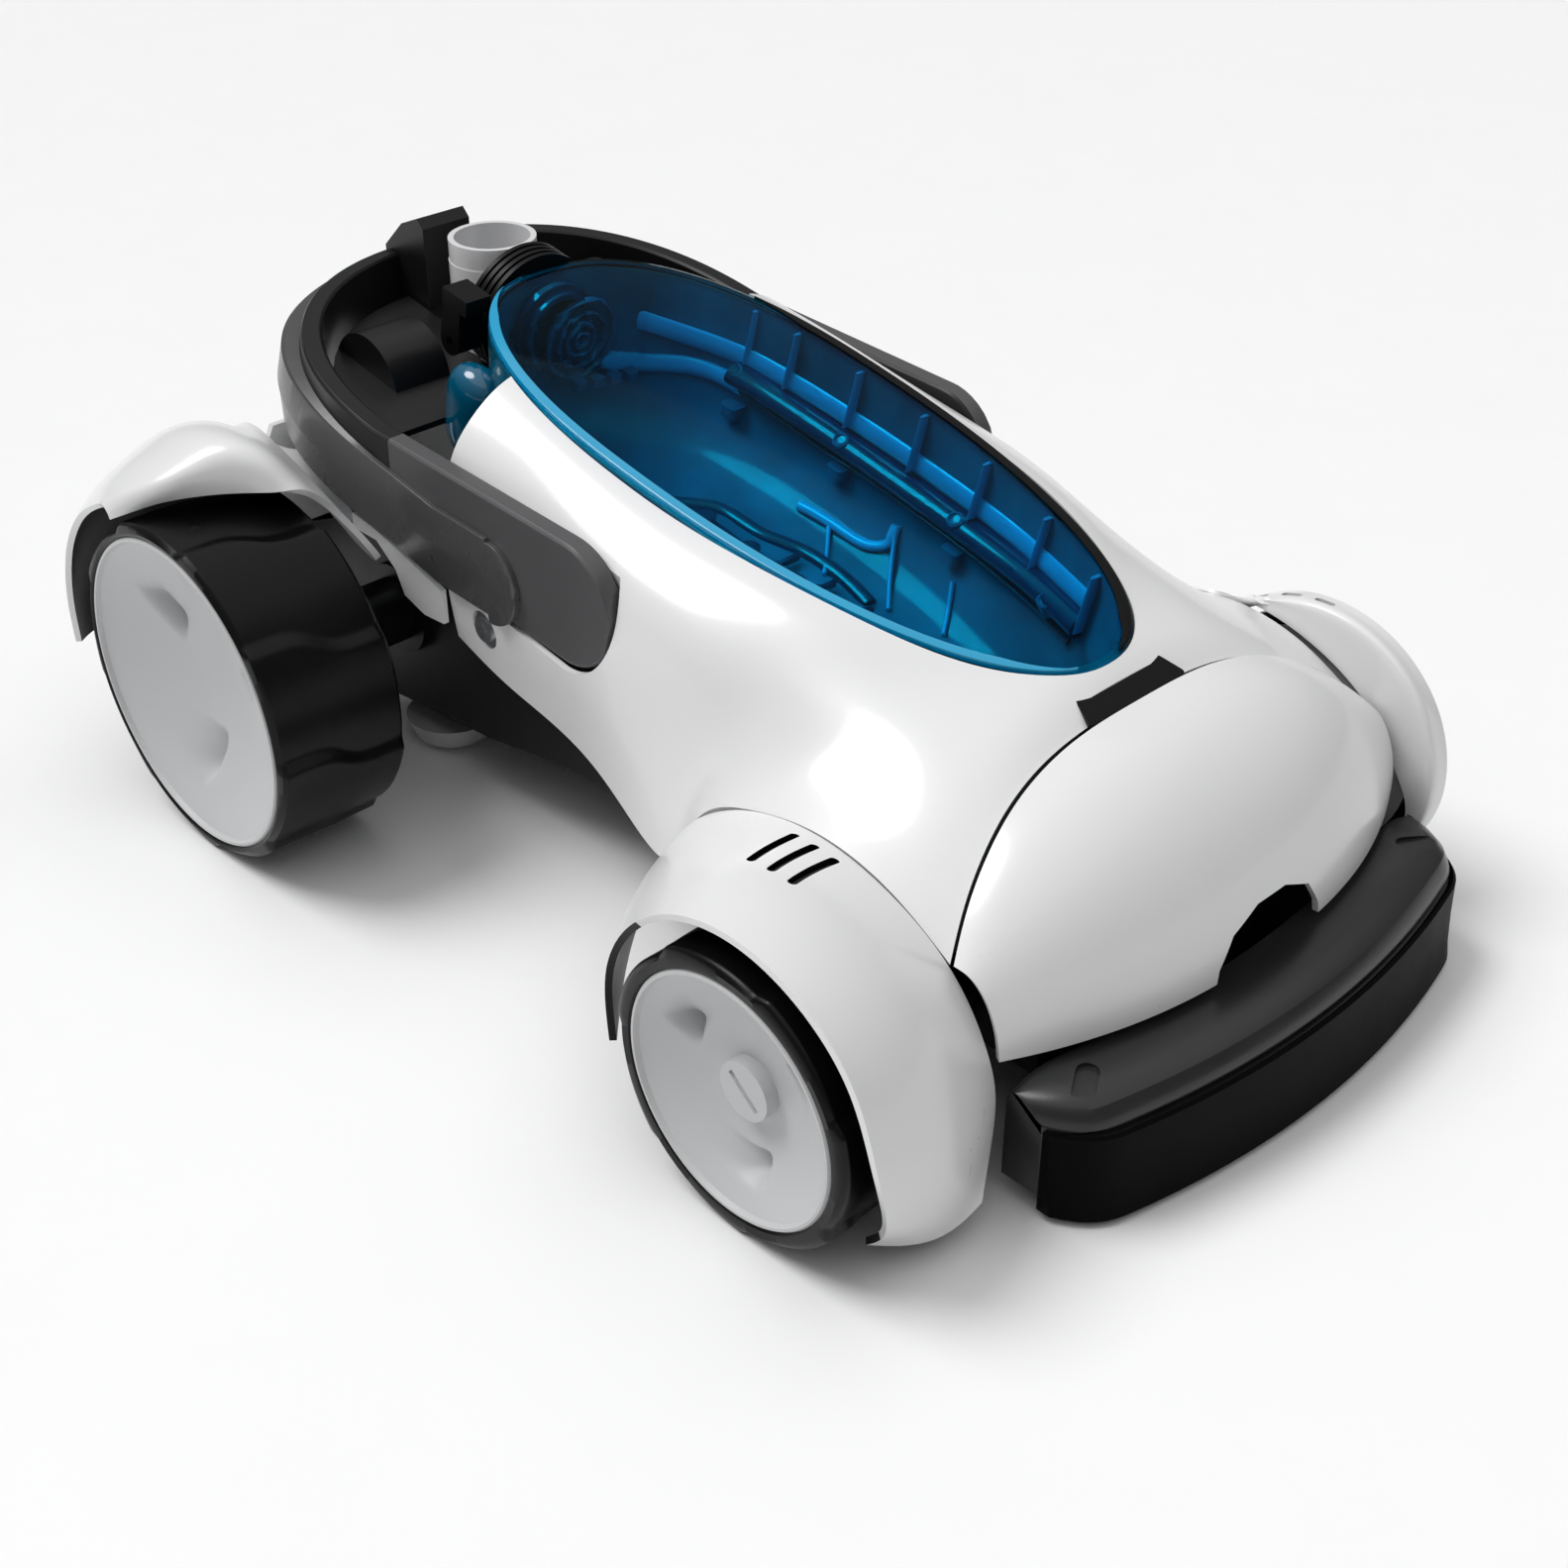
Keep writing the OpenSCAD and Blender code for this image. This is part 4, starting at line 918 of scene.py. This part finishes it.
def inward(point):
    """Direction into the bowl from a place on its wall or floor."""
    wall = 1.0 if point[2] > -60 else 0.25
    n = np.array([0, -point[1] * wall, max(4.0, (-point[2] - 30) * 0.8)])
    return n / np.linalg.norm(n)


def ridge(name, points, wide, high):
    """A half-round moulding that runs along a curve on the wall of the bowl."""
    path = smooth_through(points, 48)
    along = np.gradient(path, axis=0)
    rings = []
    for p, t in zip(path, along):
        t = t / np.linalg.norm(t)
        n = inward(p)
        b = np.cross(t, n)
        b /= np.linalg.norm(b)
        rings.append([p + b * wide / 2 * math.cos(a) + n * high * math.sin(a)
                      for a in np.linspace(0, 2 * math.pi, 16, endpoint=False)])
    return loft(name, from_rim(rings))


def block(name, at, size):
    """A small box moulding with its floor on the bowl."""
    x, y, n = at
    outline = [[x + dx * size / 2, y + dy * size / 2, n] for dx, dy in
               ((-1, -1), (1, -1), (1, 1), (-1, 1))]
    return prism(name, from_rim(fillet(outline, size / 4)), RIM_UP, size * 0.6, 0)


def turned(name, at, axis, profile, count=40):
    """Turns (radius, height) pairs about an axis through a place of the rim frame."""
    axis = np.array(axis, float) / np.linalg.norm(axis)
    u = np.cross(axis, [0.3, 1, 0.2])
    u /= np.linalg.norm(u)
    v = np.cross(axis, u)
    rings = [[np.array(at) + axis * h + r * (math.cos(a) * u + math.sin(a) * v)
              for a in np.linspace(0, 2 * math.pi, count, endpoint=False)] for r, h in profile]
    return loft(name, from_rim(rings))


def make_canister_inside():
    """Ribs, ledges, screw posts, outlet rings and small blocks in the bowl. The ribs are pale cyan
    as painted highlight.
    """
    light = [ridge("r", points, wide, high) for wide, high, points in HIGHLIT_LINES]
    for x in FAR_RIBS:
        y = 67.5 * (1 - abs((x - RIM_X) / 176) ** 2.2) ** 0.45
        light.append(ridge("r", [[x, y - 0.5, -5], [x, y - 1.5, -16], [x, y - 3, -30]], 1.8, 4.0))
    # The ribs get pale cyan as painted highlight
    finish_piece(join("canister_ribs", light), "canister", highlight_blue, "clear_blue")
    dark = [ridge("d", points, wide, high) for wide, high, points in DARK_LINES]
    finish_piece(join("canister_ledges", dark), "canister", inner_blue, "clear_blue")
    small = [block("b", at, 9) for at in BOSSES]
    for at in RAIL_SCREWS:
        small.append(turned("s", at, [0, -0.6, 1], POST))
    for r in OUTLET_RINGS:
        profile = [(r, -1), (r, 1.2), (r - 0.6, 2.0), (r - 1.2, 2.0), (r - 1.8, 1.0), (r - 1.8, -1)]
        small.append(turned("o", OUTLET, [1, 0, 0], profile))
    for k in range(4):
        small.append(block("k", [-146 + k * 3, 10 + k * 7, -52 + k], 6))
    finish_piece(join("canister_bosses", small), "canister", mid_blue, "clear_blue")


def make_lid_edges():
    """Black gasket on the far side of the opening and the bright bevel on the near side, whose pale
    cyan is painted highlight.
    """
    full = rim_outline(0, 360)
    angle = np.degrees(np.linspace(0, 2 * math.pi, 360, endpoint=False))
    # The bevel's pale cyan is painted highlight
    for name, first, last, widths, top, finish, slot in (
            ("lid_gasket", 6, 118, (4.6, 5.2), 0.75, black, "black_plastic"),
            ("lid_bevel", 196, 352, (3.6, 3.0), 0.55, highlight_blue, "clear_blue")):
        chosen = full[(angle > first) & (angle < last)]
        t = np.linspace(0, 1, len(chosen))
        rings = []
        for k, p in zip(t, chosen):
            w = (widths[0] + (widths[1] - widths[0]) * k) * min(1, 8 * k, 8 * (1 - k)) + 0.3
            toward = np.array([(RIM_X - p[0]) * 0.18, -p[1], 0])
            toward /= np.linalg.norm(toward)
            start = p + toward * 0.6
            end = p + toward * (0.6 + w)
            lift = 0.9 * w / 5
            rings.append([start + [0, 0, -1.5], start + [0, 0, top],
                          start + toward * 0.5 + [0, 0, top + 0.3],
                          end + [0, 0, top + lift], end + [0, 0, top + lift - 0.9]])
        piece = loft(name, from_rim(rings))
        finish_piece(piece, "lid", finish, slot)


def make_shoulder():
    """The rounded ear of the bowl below the catch."""
    rings = []
    for t in np.linspace(-0.98, 0.98, 22):
        r = math.sqrt(1 - abs(t) ** 3.5)
        rings.append([[-139 + 15 * r * math.cos(a), -53 + 10 * r * math.sin(a), -40 + 22 * t]
                      for a in np.linspace(0, 2 * math.pi, 40, endpoint=False)])
    finish_piece(loft("bowl_shoulder", from_rim(rings)), "canister", mid_blue, "clear_blue")


make_canister_inside()
make_shoulder()
make_lid_edges()


# ---------- bumper ----------
BUMPER_HALF = 116
BUMPER_TOP = 50
PILL_X, PILL_Y, PILL_TURN = 230, 98, 58    # recesses on top of the bumper, turn in degrees


def bumper_limits(y):
    """Rear and front x and the top of the bumper at a place across it."""
    e = max(0.0, (abs(y) - 94) / 22)
    rear = 209 + 14 * (1 - (y / BUMPER_HALF) ** 2) + 3 * e ** 2
    front = 257.5 - 17 * (abs(y) / 113) ** 2 - 12 * e ** 3
    return rear, front, BUMPER_TOP - 4 * e ** 2


def bumper_ring(y):
    """Section of the bumper, with the groove along its front."""
    b, f, top = bumper_limits(y)
    return [[b, y, 9], [b, y, top - 4], [b + 1.2, y, top - 1.2], [b + 4, y, top],
            [f - 13, y, top], [f - 8, y, top - 0.8], [f - 4, y, top - 3], [f - 1.6, y, top - 6.5],
            [f - 0.4, y, top - 9.5], [f - 0.4, y, 39.2], [f - 2.2, y, 38.6], [f - 2.2, y, 36.6],
            [f, y, 36], [f, y, 9]]


def across_bumper(count):
    """Places across the bumper that lie closer together toward its ends."""
    return BUMPER_HALF * np.sin(np.linspace(-math.pi / 2, math.pi / 2, count))


def make_bumper():
    """The bumper, with a pill-shaped recess near each end."""
    piece = loft("bumper_piece", [bumper_ring(y) for y in across_bumper(75)])
    cutters = []
    for side in (-1, 1):
        turn = math.radians(side * PILL_TURN)
        outline = [[PILL_X + a * math.cos(turn) - b * math.sin(turn),
                    side * PILL_Y + a * math.sin(turn) + b * math.cos(turn), BUMPER_TOP - 1.6]
                   for b, a in stadium(8, 18)]
        cutters.append(prism("c", outline, [0, 0, 1], 8, 0))
    cut_away(piece, cutters)
    bevel(piece, 0.7, 3, 25)
    finish_piece(piece, "chassis", bumper_black, "black_plastic", "bumper")


def make_blade():
    """The scrubber blade under the bumper's front, which flares toward the floor."""
    rings = []
    for y in across_bumper(61):
        f = bumper_limits(y)[1] + 0.3
        rings.append([[f, y, 3], [f, y, 37], [f + 1.4, y, 38.4], [f + 2.6, y, 37.4],
                      [f + 3.2, y, 22], [f + 4.2, y, 10], [f + 5.4, y, 3]])
    blade = loft("blade_piece", rings)
    bevel(blade, 0.5, 2, 25)
    finish_piece(blade, "chassis", soft_rubber, "soft_rubber", "scrubber_blade")


def make_seams():
    """Black strip under the joint of the hood and black pocket of the finger notch, both painted
    shade of the hollow behind them.
    """
    down, out = np.array([0.86, 0, -0.5]), np.array([0.5, 0, 0.86])
    rings = []
    for y in np.linspace(-114, 114, 81):
        p = np.array(hood_edge(y)) * [1, 0.975, 1] + [-0.9, 0, -3.4]
        rings.append([p + down * a + out * b
                      for a, b in ((-4, -0.7), (5, -0.7), (5, 0.7), (-4, 0.7))])
    # Painted shade: the black strip darkens the gap of the hood's joint
    finish_piece(loft("hood_gap_shade", rings), "chassis", black, "black_plastic")
    rings = []
    for grow, z in ((0.8, 129.5), (0.2, 124), (-2.5, 120.5), (-8, 120)):
        rings.append([[162.6 + x, y * (1 + grow / 24), z - (x + 5) * 0.42] for y, x in
                      fillet([[-26, 3], [-22, -7 - grow], [22, -7 - grow], [26, 3]], 2)])
    # Painted shade: the black pocket darkens the hollow behind the finger notch
    finish_piece(loft("notch_pocket_shade", rings), "chassis", black, "black_plastic")


make_bumper()
make_blade()
make_seams()

# ---------- CAD nodes that stay ----------
# No piece stands in for these, so they keep their CAD mesh and get a finish and a bevel
kept = {
    "rear_cowl": white, "belly_pan": grey_plastic, "rear_deck": deck_black,
    "handle_pocket_right": black, "handle_pocket_left": black,
    "hose_tube": silver, "tube_collar": black,
    "turbine_housing": grey_plastic, "intake_throat": grey_plastic, "belly_pads": pad_grey,
    "rear_bearings": black, "front_bearings": black, "drive_belt": soft_rubber,
    "side_screws": steel, "canister_rail": inner_blue, "debris_screen": screen_blue,
    "outlet_ring": deep_blue, "lid_seal": soft_rubber, "lid_clip": black,
    "handle_latch": deck_black, "latch_spring": steel, "rear_axle": steel,
    "front_axle": steel, "axle_gear": gear_white, "rear_pulley": gear_white,
    "front_pulley": gear_white, "idler_gear": gear_white, "turbine_wheel": gear_white,
    "front_caps": hub_grey, "side_trim_right": white, "side_trim_left": white,
}
for node, finish in kept.items():
    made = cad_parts[node]
    if made.hide_render:
        continue
    dress(made, finish)
    bevel(made, 0.5, 2, 40)

# ---------- floor and light ----------
FLOOR_SIZE = 60      # metres, so that its edge is far off in low views
SKY_STRENGTH = 0.45
HORIZON = (0.10, 0.103, 0.11, 1)
ZENITH = (1, 1, 1, 1)
STUDIO_WALL = (0.93, 0.93, 0.94, 1)

bpy.ops.mesh.primitive_plane_add(size=FLOOR_SIZE)
floor = bpy.context.object
floor.name = "floor"
dress(floor, Finish("floor", (0.94, 0.94, 0.945), 0.55, vary=0.01, bump=0.0))

world = bpy.data.worlds.new("studio")
bpy.context.scene.world = world
world.use_nodes = True
sky = world.node_tree
coords = sky.nodes.new("ShaderNodeTexCoord")
split = sky.nodes.new("ShaderNodeSeparateXYZ")
ramp = sky.nodes.new("ShaderNodeValToRGB")
ramp.color_ramp.elements[0].position = 0.0
ramp.color_ramp.elements[0].color = HORIZON
ramp.color_ramp.elements[1].position = 0.9
ramp.color_ramp.elements[1].color = ZENITH
sky.links.new(coords.outputs["Generated"], split.inputs[0])
sky.links.new(split.outputs["Z"], ramp.inputs["Fac"])
sky.links.new(ramp.outputs["Color"], sky.nodes["Background"].inputs["Color"])
sky.nodes["Background"].inputs["Strength"].default_value = SKY_STRENGTH
# Camera rays see a pale studio wall behind the floor. The wall adds no light to the gradient's
wall = sky.nodes.new("ShaderNodeBackground")
wall.inputs["Color"].default_value = STUDIO_WALL
seen = sky.nodes.new("ShaderNodeLightPath")
either = sky.nodes.new("ShaderNodeMixShader")
sky.links.new(seen.outputs["Is Camera Ray"], either.inputs["Fac"])
sky.links.new(sky.nodes["Background"].outputs["Background"], either.inputs[1])
sky.links.new(wall.outputs["Background"], either.inputs[2])
sky.links.new(either.outputs["Shader"], sky.nodes["World Output"].inputs["Surface"])


def soft_light(name, source, strength, spread):
    """Even light from a direction, as wide as its spread in degrees."""
    data = bpy.data.lights.new(name, "SUN")
    data.energy = strength
    data.angle = math.radians(spread)
    made = bpy.data.objects.new(name, data)
    made.rotation_euler = (-Vector(source)).to_track_quat("-Z", "Y").to_euler()
    bpy.context.scene.collection.objects.link(made)


soft_light("key", (-0.75, -0.55, 1.5), 1.7, 30)
soft_light("overhead", (0, 0, 1), 0.75, 90)
bpy.context.scene.view_settings.view_transform = "Standard"
